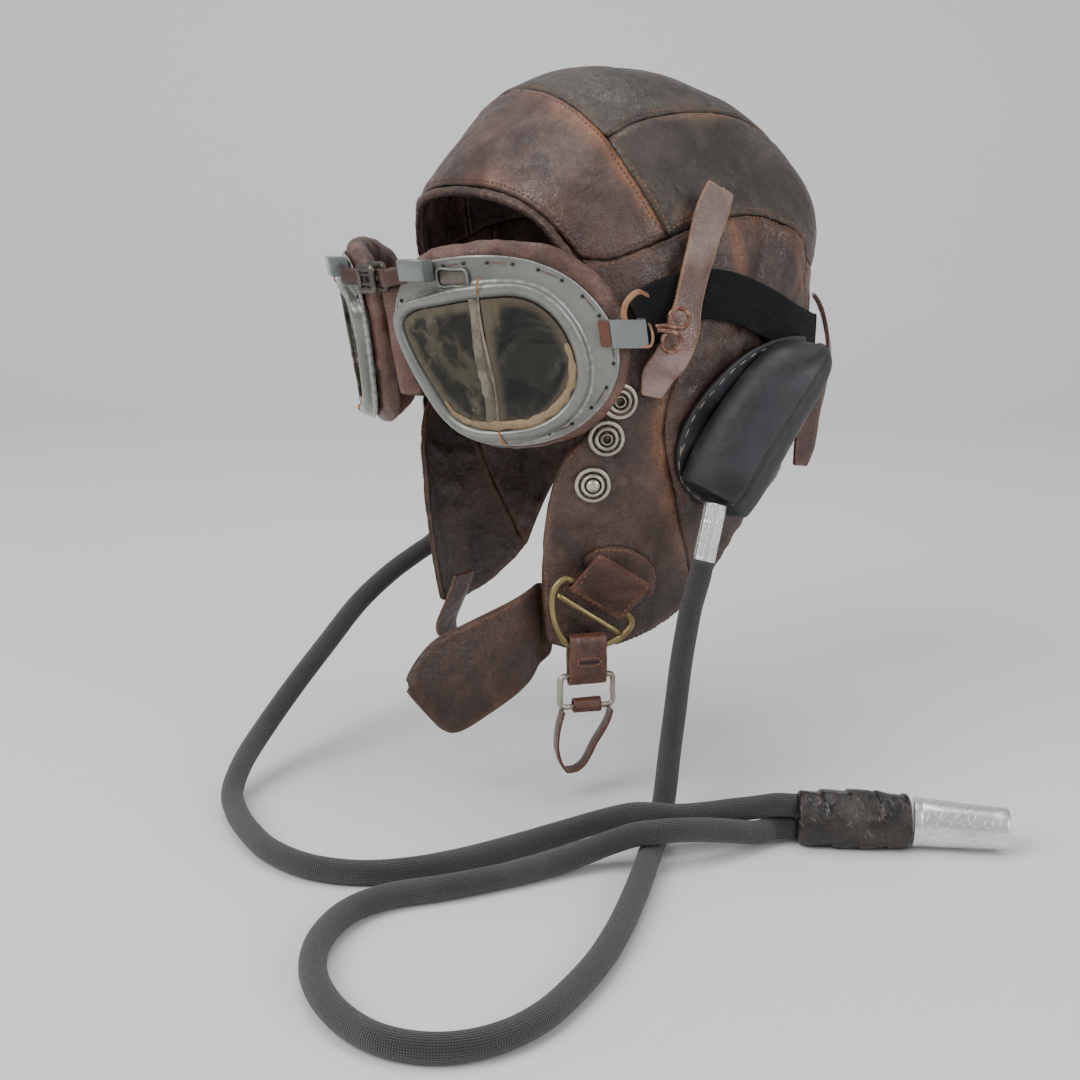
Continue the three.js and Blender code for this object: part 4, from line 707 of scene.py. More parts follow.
def sewing_tree():
    """Rows of points with an up direction become rows of slightly uneven stitches lying on the leather."""
    tree = bpy.data.node_groups.new("sewing", "GeometryNodeTree")
    sockets = tree.interface
    sockets.new_socket("Rows", in_out="INPUT", socket_type="NodeSocketGeometry")
    for title in ("Pitch", "Length", "Thickness", "Unevenness"):
        sockets.new_socket(title, in_out="INPUT", socket_type="NodeSocketFloat")
    sockets.new_socket("Seed", in_out="INPUT", socket_type="NodeSocketInt")
    sockets.new_socket("Thread", in_out="INPUT", socket_type="NodeSocketMaterial")
    sockets.new_socket("Stitches", in_out="OUTPUT", socket_type="NodeSocketGeometry")

    def add(kind, settings=None, inputs=None):
        node = tree.nodes.new(kind)
        for key, value in (settings or {}).items():
            setattr(node, key, value)
        for key, value in (inputs or {}).items():
            if isinstance(value, bpy.types.NodeSocket):
                tree.links.new(value, node.inputs[key])
            else:
                node.inputs[key].default_value = value
        return node

    given = add("NodeGroupInput").outputs
    curve = add("GeometryNodeMeshToCurve", None, {"Mesh": given["Rows"]})
    spaced = add("GeometryNodeResampleCurve", {"mode": "LENGTH"},
                 {"Curve": curve.outputs[0], "Length": given["Pitch"]})
    tangent = add("GeometryNodeInputTangent")
    up = add("GeometryNodeInputNamedAttribute", {"data_type": "FLOAT_VECTOR"}, {"Name": "up"})
    along = add("FunctionNodeAlignRotationToVector", {"axis": "X"}, {"Vector": tangent.outputs[0]})
    standing = add("FunctionNodeAlignRotationToVector", {"axis": "Z", "pivot_axis": "X"},
                   {"Rotation": along.outputs[0], "Vector": up.outputs[0]})
    wobble = add("FunctionNodeRandomValue", {"data_type": "FLOAT"},
                 {"Min": -1.0, "Max": 1.0, "Seed": given["Seed"]})
    sway = add("ShaderNodeMath", {"operation": "MULTIPLY"}, {0: wobble.outputs[1], 1: given["Unevenness"]})
    turn = add("FunctionNodeAxisAngleToRotation", None, {"Axis": (0, 0, 1), "Angle": sway.outputs[0]})
    rotated = add("FunctionNodeRotateRotation", {"rotation_space": "LOCAL"},
                  {"Rotation": standing.outputs[0], "Rotate By": turn.outputs[0]})
    grain = add("GeometryNodeMeshUVSphere", None, {"Segments": 7, "Rings": 5, "Radius": 0.5})
    size = add("ShaderNodeCombineXYZ", None, {"X": given["Length"], "Y": given["Thickness"],
                                             "Z": given["Thickness"]})
    shaped = add("GeometryNodeTransform", None, {"Geometry": grain.outputs[0], "Scale": size.outputs[0]})
    placed = add("GeometryNodeInstanceOnPoints", None, {
        "Points": spaced.outputs[0], "Instance": shaped.outputs[0], "Rotation": rotated.outputs[0]})
    real = add("GeometryNodeRealizeInstances", None, {"Geometry": placed.outputs[0]})
    smooth = add("GeometryNodeSetShadeSmooth", None, {"Geometry": real.outputs[0]})
    dyed = add("GeometryNodeSetMaterial", None, {"Geometry": smooth.outputs[0], "Material": given["Thread"]})
    add("NodeGroupOutput", None, {"Stitches": dyed.outputs[0]})
    return tree


sewing = sewing_tree()


def inset_row(piece, line, closed, inset):
    """Rows of (point, up) that follow an outline inside the piece, snapped to its outer face."""
    surface = BVHTree.FromPolygons([vert.co for vert in piece.data.vertices],
                                   [tuple(face.vertices) for face in piece.data.polygons])
    points = [point * MM for point in through([point / MM for point in line], closed, 1.2)]
    tree = KDTree(len(points))
    for k, point in enumerate(points):
        tree.insert(point, k)
    tree.balance()
    count = len(points)
    sides = []
    for k, point in enumerate(points):
        before = points[k - 2 if closed or k > 1 else 0]
        after = points[(k + 2) % count if closed or k < count - 2 else count - 1]
        away = (point - head_middle).normalized()
        normal = surface.find_nearest(point + away * 0.002)[1] or (point - head_middle)
        sides.append((after - before).normalized().cross(away + normal).normalized())
    best = None
    for sign in (1, -1):
        miss = sum(surface.find_nearest(point + side * (sign * inset * MM))[3]
                   for point, side in list(zip(points, sides))[::4])
        if best is None or miss < best[0]:
            best = (miss, sign)
    rows, row = [], []
    for point, side in zip(points, sides):
        spot = point + side * (best[1] * inset * MM)
        away = (spot - head_middle).normalized()
        hit, normal, _, _ = surface.ray_cast(spot + away * 0.006, -away, 0.012)
        if hit is None or tree.find(hit)[2] < inset * MM * 0.72:
            if len(row) > 4:
                rows.append(row)
            row = []
            continue
        row.append((hit, normal))
    if len(row) > 4:
        rows.append(row)
    return rows


def seam_rows(piece, lines, inset):
    """The stitch rows inside all the outlines of a piece."""
    return [row for line, closed in lines for row in inset_row(piece, line, closed, inset)]


def thread_finish(name, colour, grime=0.5):
    finish = Finish(name)
    place = finish.place()
    twist = finish.cloud(2600.0, 2.0, 0.5, place)
    dirt = finish.cloud(55.0, 4.0, 0.6, place)
    tone = finish.blend(finish.between(dirt, 0.38, 0.66, 0.0, grime), colour,
                        tuple(value * 0.28 for value in colour))
    tone = finish.blend(finish.between(twist, 0.4, 0.7, 0.0, 0.4), tone,
                        tuple(value * 0.5 for value in colour))
    return finish.done(Base_Color=tone, Roughness=0.75, Normal=finish.bump(twist, 0.0002))


def sewn(name, rows, thread, pitch=2.5, length=1.9, thickness=0.55, wobble=0.12,
         sink=0.08):
    """Turns rows of (point, up) into one mesh of stitches."""
    verts, edges, ups = [], [], []
    for row in rows:
        first = len(verts)
        verts += [point - up * (sink * MM) for point, up in row]
        ups += [tuple(up) for point, up in row]
        edges += [(first + k, first + k + 1) for k in range(len(row) - 1)]
    mesh = bpy.data.meshes.new(name)
    mesh.from_pydata(verts, edges, [])
    up = mesh.attributes.new("up", "FLOAT_VECTOR", "POINT")
    up.data.foreach_set("vector", [value for vector in ups for value in vector])
    piece = added(name, mesh)
    rows_modifier = piece.modifiers.new("sewing", "NODES")
    rows_modifier.node_group = sewing
    given = {"Pitch": pitch * MM, "Length": length * MM, "Thickness": thickness * MM, "Unevenness": wobble,
             "Seed": 7, "Thread": thread}
    for item in sewing.interface.items_tree:
        if item.in_out == "INPUT" and item.name in given:
            rows_modifier[item.identifier] = given[item.name]
    settled(piece)
    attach(piece, "root")


tan_thread = thread_finish("tan thread", (0.205, 0.118, 0.070), 0.8)
dark_thread = thread_finish("dark thread", (0.060, 0.032, 0.024))
pale_thread = thread_finish("pale thread", (0.34, 0.26, 0.19), 0.4)
for node, piece in shell_pieces.items():
    thread = dark_thread if node == "front_panel" else tan_thread
    sewn(node + "_stitching", seam_rows(piece, shell_lines[node], 2.1), thread, pitch=2.3, length=1.7,
         thickness=0.62)

# The brow binding: a narrow strip of the same leather rolled over the front
# edge of the helmet, gathered slightly and worn pale in patches.
binding, _ = softened("brow_binding", "brow_binding_roll", 2, 0.0)


def gathered(place, normal, gap):
    return normal * ((0.28 * soft_noise(place, 3.4, 4.0) + 0.35 * soft_noise(place, 12.0, 5.0) + 0.5) * MM)


moved(binding, gathered)
binding_finish = leather_finish("binding leather", (0.050, 0.024, 0.018), (0.115, 0.055, 0.038),
                                (0.22, 0.12, 0.082), (0.30, 0.15, 0.09), 0.8, 0.8, 0.34)
finished(marked(binding), binding_finish, "crown_leather", "brow_binding")

# The goggle strap: black woven elastic, 20 mm wide, dusty and pilled. Its two
# ends run into the goggle clips and it passes under the retaining tabs.


def elastic_finish():
    finish = Finish("black elastic")
    place = finish.place()
    gap = finish.attribute("edge_gap")
    along = finish.attribute("along")
    ribs = finish.wave(gap * (2 * math.pi / 0.00105))
    picks = finish.wave(along * (2 * math.pi / 0.0009))
    weave = finish.between(ribs * 0.7 + picks * 0.3, -0.8, 0.8)
    dust = finish.cloud(60.0, 5.0, 0.62, place)
    pill = finish.cloud(1500.0, 3.0, 0.6, place)
    colour = finish.blend(weave, (0.0035, 0.0035, 0.0042), (0.0095, 0.0095, 0.0112))
    colour = finish.blend(finish.between(dust, 0.52, 0.78, 0.0, 0.4), colour, (0.024, 0.023, 0.023))
    colour = finish.blend(finish.between(pill, 0.68, 0.82, 0.0, 0.3), colour, (0.10, 0.095, 0.09))
    height = finish.bump(weave + pill * 0.4, 0.0003)
    return finish.done(Base_Color=colour, Roughness=0.9, Normal=height, Specular_IOR_Level=0.25)


elastic, _ = softened("goggle_strap", "goggle_strap_elastic", 3, 0.6)
along = elastic.data.attributes.new("along", "FLOAT", "POINT")
along.data.foreach_set("value", [math.atan2(vert.co.x, vert.co.y) * 0.086 for vert in elastic.data.vertices])
moved(elastic, lambda place, normal, gap: normal * ((0.18 * soft_noise(place, 16.0, 2.0)) * MM))
finished(elastic, elastic_finish(), "elastic", "goggle_strap")

# Retaining tabs: long straps of thick pinkish-brown leather sewn to the shell
# above, closed by a bent wire hook, with raw edges and a polished lower end that also carries a painted
# highlight.


def strap_shift(seed, amount=0.35, roll=0.25):
    """A strap's slow waviness, and its cut edges pressed slightly down."""
    def shift(place, normal, gap):
        edge = math.exp(-(gap / MM / 1.6) ** 2)
        return normal * ((amount * soft_noise(place, 11.0, seed) + 0.12 * soft_noise(place, 3.0, seed + 5)
                          - roll * edge) * MM)
    return shift


def tab_leather():
    """Thick strap leather: dull brown above, redder where it bends, pink grey and shiny at its lower end,
    where the lighter colour is partly a painted highlight.
    """
    finish = Finish("retaining tab leather")
    place = finish.place()
    gap = finish.attribute("edge_gap")
    height = finish.split(place)[2]
    cloud = finish.cloud(26.0, 5.0, 0.6, place, 0.6)
    fine = finish.cloud(240.0, 4.0, 0.6, place)
    pores = finish.cells(700.0, "DISTANCE_TO_EDGE", place)
    upper = finish.blend(finish.between(cloud, 0.38, 0.64), (0.140, 0.092, 0.072), (0.225, 0.160, 0.130))
    bend = finish.blend(finish.between(cloud, 0.40, 0.62), (0.085, 0.042, 0.030), (0.165, 0.090, 0.066))
    # The lower end: its own pink grey leather, lightened by a painted highlight.
    lower_end_highlight = finish.blend(finish.between(cloud, 0.40, 0.62), (0.190, 0.110, 0.098), (0.300, 0.200, 0.190))
    colour = finish.blend(finish.between(height + cloud * 0.012, -0.080, -0.066), bend, upper)
    colour = finish.blend(finish.between(height + cloud * 0.008, -0.112, -0.106, 1.0, 0.0), colour, lower_end_highlight)
    colour = finish.blend(finish.between(fine, 0.52, 0.76, 0.0, 0.4), colour, (0.085, 0.045, 0.032))
    edge = finish.between(gap + fine * 0.0006, 0.0008, 0.0016, 0.85, 0.0)
    colour = finish.blend(edge, colour, (0.27, 0.150, 0.085))
    shine = finish.between(height, -0.115, -0.085, 0.22, 0.40)
    bumps = finish.between(pores, 0.0, 0.2) * 0.5 + fine * 0.5
    return finish.done(Base_Color=colour, Roughness=shine + finish.between(fine, 0.4, 0.7, 0.0, 0.12),
                       Normal=finish.bump(bumps, 0.00016))


tab_finish = tab_leather()
dark_strap = leather_finish("dark strap leather", (0.026, 0.010, 0.008), (0.066, 0.025, 0.019),
                            (0.120, 0.054, 0.040), (0.20, 0.085, 0.045), 0.5, 0.4, 0.19, 0.2,
                            (0.13, 0.050, 0.030))


def strap(node, title, finish, slot, level=3, crease=0.8, amount=0.35, seed=0.0, sharp=0.6):
    """A strap smoothed from its solid, with a slow waviness."""
    piece, lines = softened(node, title, level, crease, sharp)
    moved(piece, strap_shift(seed, amount))
    finished(marked(piece), finish, slot, node)
    return piece, lines


for side in ("left", "right"):
    tab, lines = strap("retaining_tab_" + side, "retaining_tab_strap_" + side, tab_finish, "tab_leather",
                       seed=1.5, sharp=1.15)
    rows = [row[:len(row) // 7] for row in seam_rows(tab, lines, 1.8) if len(row) > 30]
    sewn("retaining_tab_stitching_" + side, rows, pale_thread, 2.2, 1.5, 0.4)
    strap("rear_tab_" + side, "rear_tab_strap_" + side, dark_strap, "dark_leather", seed=3.5, sharp=1.15)

# Wire hooks: lacquered wire bent by hand into a figure of eight, one on each
# retaining tab. Its two ends lie side by side and point to the front.


def wire_finish():
    finish = Finish("lacquered wire")
    place = finish.place()
    wear = finish.cloud(260.0, 4.0, 0.6, place)
    colour = finish.blend(finish.between(wear, 0.42, 0.66), (0.13, 0.048, 0.032), (0.34, 0.20, 0.14))
    return finish.done(Base_Color=colour, Metallic=0.6, Roughness=finish.between(wear, 0.3, 0.7, 0.28, 0.5),
                       Normal=finish.bump(wear, 0.0001))


hook_finish = wire_finish()


hook_middle = Vector((90.545, -24.922, -105.389))
hook_across = Vector((0.251, 0.900, -0.357))
hook_down = Vector((-0.086, -0.347, -0.934))
hook_out = Vector((0.965, -0.261, 0.020))
hook_bends = [(-9.6, 2.2, -2.4), (-6.8, 0.9, -0.8), (-3.4, 0.1, 0.4), (0.2, -1.0, 0.7), (1.5, -3.4, 0.5),
              (0.6, -6.2, 0.2), (-2.3, -7.7, 0.0), (-5.3, -6.6, -0.2), (-6.4, -3.9, -0.5), (-5.4, -1.1, -0.9),
              (-4.8, 2.4, -0.9), (-6.0, 5.4, -0.5), (-5.3, 8.4, -0.1), (-2.4, 9.8, 0.1), (0.4, 8.6, 0.3),
              (1.8, 5.6, 0.5), (0.1, 2.8, 0.9), (-3.6, 2.0, 1.1), (-8.8, 3.4, -1.6)]
for side, sign in (("left", 1), ("right", -1)):
    bends = [hook_middle + hook_across * a + hook_down * b + hook_out * c for a, b, c in hook_bends]
    path = through([(point.x * sign, point.y, point.z) for point in bends], False, 0.7)
    hook = swept("tab_hook_wire_" + side, path, 0.9, 10)
    finished(hook, hook_finish, "wire", "tab_hook_" + side)

# Chin pieces: a stitched cheek patch, a glossy leather loop with a brass ring,
# a hanging strap with a slit, a plated slide with its keeper, a narrow strap
# loop, a broad flap with a turned, stitched edge and the far side's strap.
chin_middle = Vector((0.0, -20.0, -235.0)) * MM
patch_piece, lines = softened("cheek_patch", "cheek_patch_leather", 3, 0.6)
moved(patch_piece, strap_shift(8.0, 0.5, 0.3))
finished(marked(patch_piece), side_finish, "crown_leather", "cheek_patch")
rust_thread = thread_finish("rust thread", (0.30, 0.12, 0.065), 0.3)
sewn("cheek_patch_stitching", seam_rows(patch_piece, lines, 1.6), rust_thread, pitch=2.3, length=1.8)

loop_piece, lines = strap("ring_loop", "ring_loop_leather", dark_strap, "dark_leather", 3, 0.7, 0.2, 6.0)
sewn("ring_loop_stitching", seam_rows(loop_piece, lines, 2.4), rust_thread, 2.4, 1.8, 0.5)

ring_out = Vector((0.93, -0.368, 0.0)).normalized()
ring_side = Vector((0.368, 0.93, 0.0)).normalized()
ring_bottom = Vector((61.38, -47.70, -236.07))


def on_ring(side, up, out=0.0):
    return ring_bottom + ring_side * side + Vector((0, 0, up)) + ring_out * out


brass = bright_metal("aged brass", (0.34, 0.265, 0.125), (0.20, 0.155, 0.080), 0.34, 0.3)
nickel = bright_metal("dull nickel", (0.52, 0.48, 0.41), (0.33, 0.29, 0.235), 0.34, 0.35)
ring_points = [(-8.9, 29), (-13.2, 26), (-15, 19.5), (-13.8, 10.5), (-9.6, 2.6), (-4, -0.1), (2, -0.5),
               (9, 0.4), (15, 3), (19, 7.5), (18.5, 11), (9.4, 17), (4.8, 20), (0.2, 23)]
ring_wire = swept("chin_ring", through([on_ring(*point) for point in ring_points], True, 1.0), 1.45, 14, True)
bar = swept("chin_ring_crossbar", [on_ring(-12.9, 22.6).lerp(on_ring(14.6, 4.1), k / 12) for k in range(13)],
            lambda run, angle: 1.25 + 0.1 * math.cos(run / 5), 12)
finished(ring_wire, brass, "brass", "d_ring")
finished(bar, brass, "brass")

slide_top, slide_height, slide_half = -13.2, 12.5, 10.8
slide_points = [(-slide_half, slide_top - 0.2), (-slide_half + 2, slide_top + 0.3), (0, slide_top),
                (slide_half - 2, slide_top + 0.3), (slide_half, slide_top - 0.2),
                (slide_half + 0.5, slide_top - 6), (slide_half, slide_top - slide_height),
                (0, slide_top - slide_height), (-slide_half, slide_top - slide_height),
                (-slide_half - 0.5, slide_top - 6)]
slide_path = through([on_ring(*point) for point in slide_points], True, 0.9)
slide = swept("strap_slide_frame", slide_path, 1.05, 12, True, (1.0, 1.25))
finished(slide, nickel, "nickel", "strap_slide")

hanging, _ = strap("hanging_strap", "hanging_strap_leather", dark_strap, "dark_leather", 3, 0.6, 0.25, 9.0)
strap("narrow_strap", "narrow_strap_leather", dark_strap, "dark_leather", 3, 0.6, 0.2, 2.0)
strap("strap_keeper", "strap_keeper_leather", dark_strap, "dark_leather", 3, 0.6, 0.15, 4.0)
slit = []
for k in range(41):
    turn = 2 * math.pi * k / 40
    wide = 5.0 * math.copysign(abs(math.cos(turn)) ** 0.5, math.cos(turn))
    slit.append(on_ring(wide, -6.2 + 1.7 * math.sin(turn), 5.5))
front = BVHTree.FromPolygons([vert.co for vert in hanging.data.vertices],
                             [tuple(face.vertices) for face in hanging.data.polygons])
slit_row = []
for point in slit:
    hit, normal, _, _ = front.ray_cast((point + ring_out * 6) * MM, -ring_out, 0.03)
    if hit:
        slit_row.append((hit, normal))
sewn("hanging_strap_slit_stitching", [slit_row], rust_thread, 1.7, 1.5, 0.5)
# The open slit is drawn as a near-black strand along its middle: painted shade.
ends = [slit_row[k][0] / MM for k in (0, 20)]
cut_path = [ends[0].lerp(ends[1], 0.1 + 0.8 * k / 8) + ring_out * 0.02 for k in range(9)]
slit_shade_finish = leather_finish("painted slit shade", (0.004, 0.002, 0.002), (0.010, 0.004, 0.003),
                            (0.02, 0.008, 0.006), (0.03, 0.01, 0.006))
finished(swept("hanging_strap_slit", cut_path, 0.42, 8), slit_shade_finish, "dark_leather")

flap_finish = leather_finish("chin flap leather", (0.026, 0.014, 0.011), (0.070, 0.036, 0.027),
                             (0.125, 0.066, 0.046), (0.235, 0.098, 0.045), 0.6, 1.1, 0.42, 0.25)
flap, lines = softened("chin_flap", "chin_flap_leather", 3, 0.3, sharp=1.1)


def turned_edge(place, normal, gap):
    near = gap / MM
    rolled = 0.45 * math.exp(-((near - 1.6) / 1.1) ** 2) - 0.35 * math.exp(-((near - 3.8) / 0.9) ** 2)
    away = (place - chin_middle).normalized()
    facing = away if normal.dot(away) > 0 else -away
    return facing * ((rolled + 0.35 * soft_noise(place, 14.0, 3.0) + 0.2 * soft_noise(place, 4.5, 6.0)
                      * math.exp(-((near - 2.5) / 2.5) ** 2)) * MM)


moved(flap, turned_edge)
finished(marked(flap), flap_finish, "crown_leather", "chin_flap")
sewn("chin_flap_stitching", seam_rows(flap, lines, 3.6), dark_thread, 2.4, 1.8, 0.5)
strap("chin_strap_right", "chin_strap_leather_right", dark_strap, "dark_leather", 3, 0.8, 0.3, 7.0)

# Press studs: three on each cheek, spun from plated brass with two raised
# rings, a dark socket in the upper two and a plain domed post in the lowest.


def disc_axis(node):
    """The centre of a flat round solid's foot, its outward axis, its radius and height, in millimetres."""
    tries, tilts, golden_turn = 400, 200, 2.399963
    points = [vert.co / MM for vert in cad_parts[node].data.vertices]
    centre = sum(points, Vector()) / len(points)
    best = None
    for k in range(tries):
        tilt = math.acos(1 - (k % tilts + 0.5) / tilts)
        spin = k * golden_turn
        axis = Vector((math.sin(tilt) * math.cos(spin), math.sin(tilt) * math.sin(spin), math.cos(tilt)))
        spread = [point.dot(axis) for point in points]
        height = max(spread) - min(spread)
        if best is None or height < best[0]:
            best = (height, axis)
    axis = best[1]
    for step in (0.05, 0.02, 0.008):
        for _ in range(12):
            side = axis.orthogonal().normalized()
            for turn in range(8):
                angle = turn * math.pi / 4
                lean = side * math.cos(angle) + axis.cross(side) * math.sin(angle)
                trial = (axis + lean * step).normalized()
                spread = [point.dot(trial) for point in points]
                if max(spread) - min(spread) < best[0]:
                    best = (max(spread) - min(spread), trial)
            axis = best[1]
    if axis.dot(centre - head_middle / MM) < 0:
        axis = -axis
    spread = [point.dot(axis) for point in points]
    radius = max((point - centre - axis * (point - centre).dot(axis)).length for point in points)
    foot = centre + axis * (min(spread) - centre.dot(axis))
    return foot, axis, radius, max(spread) - min(spread)


stud_rings = [(0.0, 0.0), (1.0, 0.0), (1.0, 0.18), (0.97, 0.30), (0.92, 0.36), (0.80, 0.34), (0.76, 0.24),
              (0.70, 0.24), (0.66, 0.40), (0.62, 0.62), (0.57, 0.70), (0.50, 0.68), (0.45, 0.50),
              (0.41, 0.36), (0.37, 0.38), (0.34, 0.62), (0.30, 0.80), (0.25, 0.82), (0.20, 0.60),
              (0.17, 0.30), (0.0, 0.26)]
stud_dome = stud_rings[:14] + [(0.40, 0.42), (0.37, 0.66), (0.30, 0.84), (0.18, 0.96), (0.08, 1.0),
                               (0.0, 1.0)]


def socket_finish():
    finish = Finish("dark stud socket")
    place = finish.place()
    wear = finish.cloud(700.0, 3.0, 0.6, place)
    colour = finish.blend(finish.between(wear, 0.4, 0.7), (0.035, 0.027, 0.020), (0.15, 0.12, 0.085))
    return finish.done(Base_Color=colour, Metallic=0.7, Roughness=0.5, Normal=finish.bump(wear, 0.0001))


socket = socket_finish()
for side in ("left", "right"):
    for number in (1, 2, 3):
        node = f"press_stud_{number}_{side}"
        foot, axis, radius, height = disc_axis(node)
        rows = stud_dome if number == 3 else stud_rings
        rows = [(reach * radius, rise * height) for reach, rise in rows]
        stud = turned(f"press_stud_cap_{number}_{side}", rows, foot, axis, 40)
        sharpened(finished(stud, nickel, "nickel", node), 50)
        stud.data.materials.append(socket)
        for face in stud.data.polygons:
            centre = face.center / MM - foot
            reach = (centre - axis * centre.dot(axis)).length / radius
            if 0.66 < reach < 0.79 or 0.34 < reach < 0.47 or (number != 3 and reach < 0.21):
                face.material_index = 1

# Telephone cups: black moulded rubber. A flat flange is sewn round its front
# edge to the shell, the cup bulges out of it to a thick rolled rim at the
# back, and a short fluted aluminium stub comes out of its lower end.


def rubber_finish():
    finish = Finish("black rubber")
    place = finish.place()
    gap = finish.attribute("edge_gap")
    bloom = finish.cloud(32.0, 4.0, 0.6, place, 0.8)
    scuff = finish.cloud(160.0, 5.0, 0.7, place, 0.6)
    speck = finish.cloud(900.0, 3.0, 0.6, place)
    colour = finish.blend(finish.between(bloom, 0.36, 0.70), (0.0085, 0.009, 0.0105), (0.024, 0.025, 0.029))
    colour = finish.blend(finish.between(scuff, 0.56, 0.76, 0.0, 0.45), colour, (0.052, 0.053, 0.058))
    # Lighter along the edges where the scuff noise allows: partly scuffed wear and partly a painted edge
    # highlight.
    colour = finish.blend(finish.between(gap, 0.0, 0.0022, 0.45, 0.0) * finish.between(scuff, 0.35, 0.6),
                          colour, (0.050, 0.046, 0.042))
    height = finish.bump(scuff * 0.6 + speck * 0.3, 0.00025)
    return finish.done(Base_Color=colour, Normal=height,
                       Roughness=finish.between(bloom * 0.6 + scuff * 0.4, 0.35, 0.65, 0.40, 0.62))


rubber = rubber_finish()
for side, sign in (("left", 1), ("right", -1)):
    flange, lines = softened("ear_flange_" + side, "ear_flange_rubber_" + side, 3, 0.7)
    moved(flange, strap_shift(2.0, 0.15, 0.2))
    finished(flange, rubber, "rubber", "ear_flange_" + side)
    rows = [[item for item in row if item[0].y < 0.012 or item[0].z > -0.118]
            for row in seam_rows(flange, lines, 2.6)]
    rows = [row for row in rows if len(row) > 4]
    sewn("ear_flange_stitching_" + side, rows, pale_thread, 6.2, 4.4, 0.6, 0.10)
    cup, _ = softened("ear_cup_" + side, "ear_cup_rubber_" + side, 3, 0.35)
    moved(cup, lambda place, normal, gap: normal * ((0.45 * soft_noise(place, 26.0, 1.0)
                                                     + 0.12 * soft_noise(place, 7.0, 2.0)) * MM))
    finished(cup, rubber, "rubber", "ear_cup_" + side)

    def fluted(radius, along, angle):
        if radius < 3.5 or along < 1.6 or along > stub_length - 1.6:
            return 0.0
        ring = 0.16 * (math.exp(-((along - 7.0) / 0.5) ** 2) + math.exp(-((along - 16.5) / 0.5) ** 2))
        return -0.20 * max(0.0, math.cos(18 * angle)) - ring

    top = Vector((stub_top.x * sign, stub_top.y, stub_top.z))
    stub_rows = [(0, 0), (4.5, 0), (4.8, 0.3)]
    stub_rows += [(4.8, 0.3 + k * (stub_length - 0.6) / 48) for k in range(1, 48)]
    stub_rows += [(4.8, stub_length - 0.3), (4.5, stub_length), (0, stub_length)]
    stub = turned("ear_tube_stub_" + side, stub_rows, top, stub_down, 108, fluted)
    sharpened(finished(stub, bright, "aluminium", "ear_tube_" + side), 40)

# Goggles: pressed frames in worn grey-green paint with a flange that is laced
# to a rolled leather pad through small holes. Each holds a flat front pane
# and a flat side pane of old amber laminated glass, sealed at the edge.
nose_half, nose_forward = 12.0, -105.0
eye_width, eye_height, eye_drop, eye_lean = 95.0, 75.0, 116.0, 0.175
bend_share, bend_length, front_turn, side_turn = 0.47, 9.0, 0.349, 0.942
flange_plate, shell_wall = 1.6, 2.5


def eye_point(s, h, d, sign=1):
    """A place on the bent sheet of an eyepiece: s along it, h up it and d out of it, in millimetres."""
    start = bend_share * eye_width - bend_length / 2
    x, y = nose_half, nose_forward
    pieces = 60
    for k in range(pieces):
        share = min(max(((k + 0.5) * s / pieces - start) / bend_length, 0.0), 1.0)
        turn = front_turn + (side_turn - front_turn) * share
        x += math.cos(turn) * s / pieces
        y += math.sin(turn) * s / pieces
    share = min(max((s - start) / bend_length, 0.0), 1.0)
    turn = front_turn + (side_turn - front_turn) * share
    return Vector(((x + d * math.sin(turn)) * sign, y - d * math.cos(turn) - h * eye_lean,
                   h * math.cos(math.atan(eye_lean)) - eye_drop + shell_wall))


def paint_finish(name, base, shade, worn_edge_and_highlight):
    finish = Finish(name)
    place = finish.place()
    gap = finish.attribute("edge_gap")
    tone = finish.cloud(30.0, 4.0, 0.6, place)
    grime = finish.cloud(110.0, 5.0, 0.65, place, 0.5)
    chip = finish.cloud(520.0, 4.0, 0.65, place)
    colour = finish.blend(finish.between(tone, 0.36, 0.66), base, shade)
    colour = finish.blend(finish.between(grime, 0.56, 0.80, 0.0, 0.45), colour,
                          tuple(value * 0.45 for value in shade))
    # Lighter along the edges: partly paint worn through and partly a painted highlight on the rims.
    edge = finish.between(gap + chip * 0.0016, 0.0010, 0.0020, 0.75, 0.0)
    colour = finish.blend(edge, colour, worn_edge_and_highlight)
    colour = finish.blend(finish.between(chip, 0.70, 0.76, 0.0, 0.6), colour, (0.10, 0.095, 0.085))
    return finish.done(Base_Color=colour, Metallic=0.3, Normal=finish.bump(grime * 0.5 + chip * 0.5, 0.00012),
                       Roughness=finish.between(grime, 0.35, 0.75, 0.24, 0.46), Coat_Weight=0.35,
                       Coat_Roughness=0.15)


grey_paint = paint_finish("worn grey green paint", (0.205, 0.208, 0.190), (0.135, 0.139, 0.126),
                          (0.42, 0.42, 0.39))
blue_paint = paint_finish("blue grey paint", (0.190, 0.208, 0.205), (0.135, 0.150, 0.148), (0.36, 0.38, 0.38))


def lens_finish(name, murk, stain, bloom, haze, spread):
    """Laminated glass gone cloudy: dark swirls, milky blooms, fine frost and a yellowed edge."""
    finish = Finish(name)
    place = finish.place()
    gap = finish.attribute("edge_gap")
    swirl = finish.cloud(30.0, 5.0, 0.60, place, 2.2)
    milk = finish.cloud(58.0, 4.0, 0.62, place, 1.2)
    frost = finish.cloud(420.0, 5.0, 0.75, place, 0.8)
    colour = finish.blend(finish.between(swirl, 0.44, 0.58), murk, stain)
    colour = finish.blend(finish.between(milk, 0.52, 0.72, 0.0, spread), colour, bloom)
    colour = finish.blend(finish.between(frost * 0.6 + milk * 0.4, 0.58, 0.70, 0.0, 0.7), colour,
                          tuple(value * 1.5 for value in bloom))
    edge = finish.between(gap + milk * 0.007, 0.0040, 0.0085, 1.0, 0.0)
    colour = finish.blend(edge * 0.6, colour, haze)
    cover = finish.between(swirl * 0.5 + milk * 0.5 + edge * 0.3, 0.38, 0.66, 0.70, 0.96)
    return finish.done(Base_Color=colour, Alpha=cover, Roughness=finish.between(milk, 0.4, 0.7, 0.04, 0.20),
                       IOR=1.45, Specular_IOR_Level=0.4)


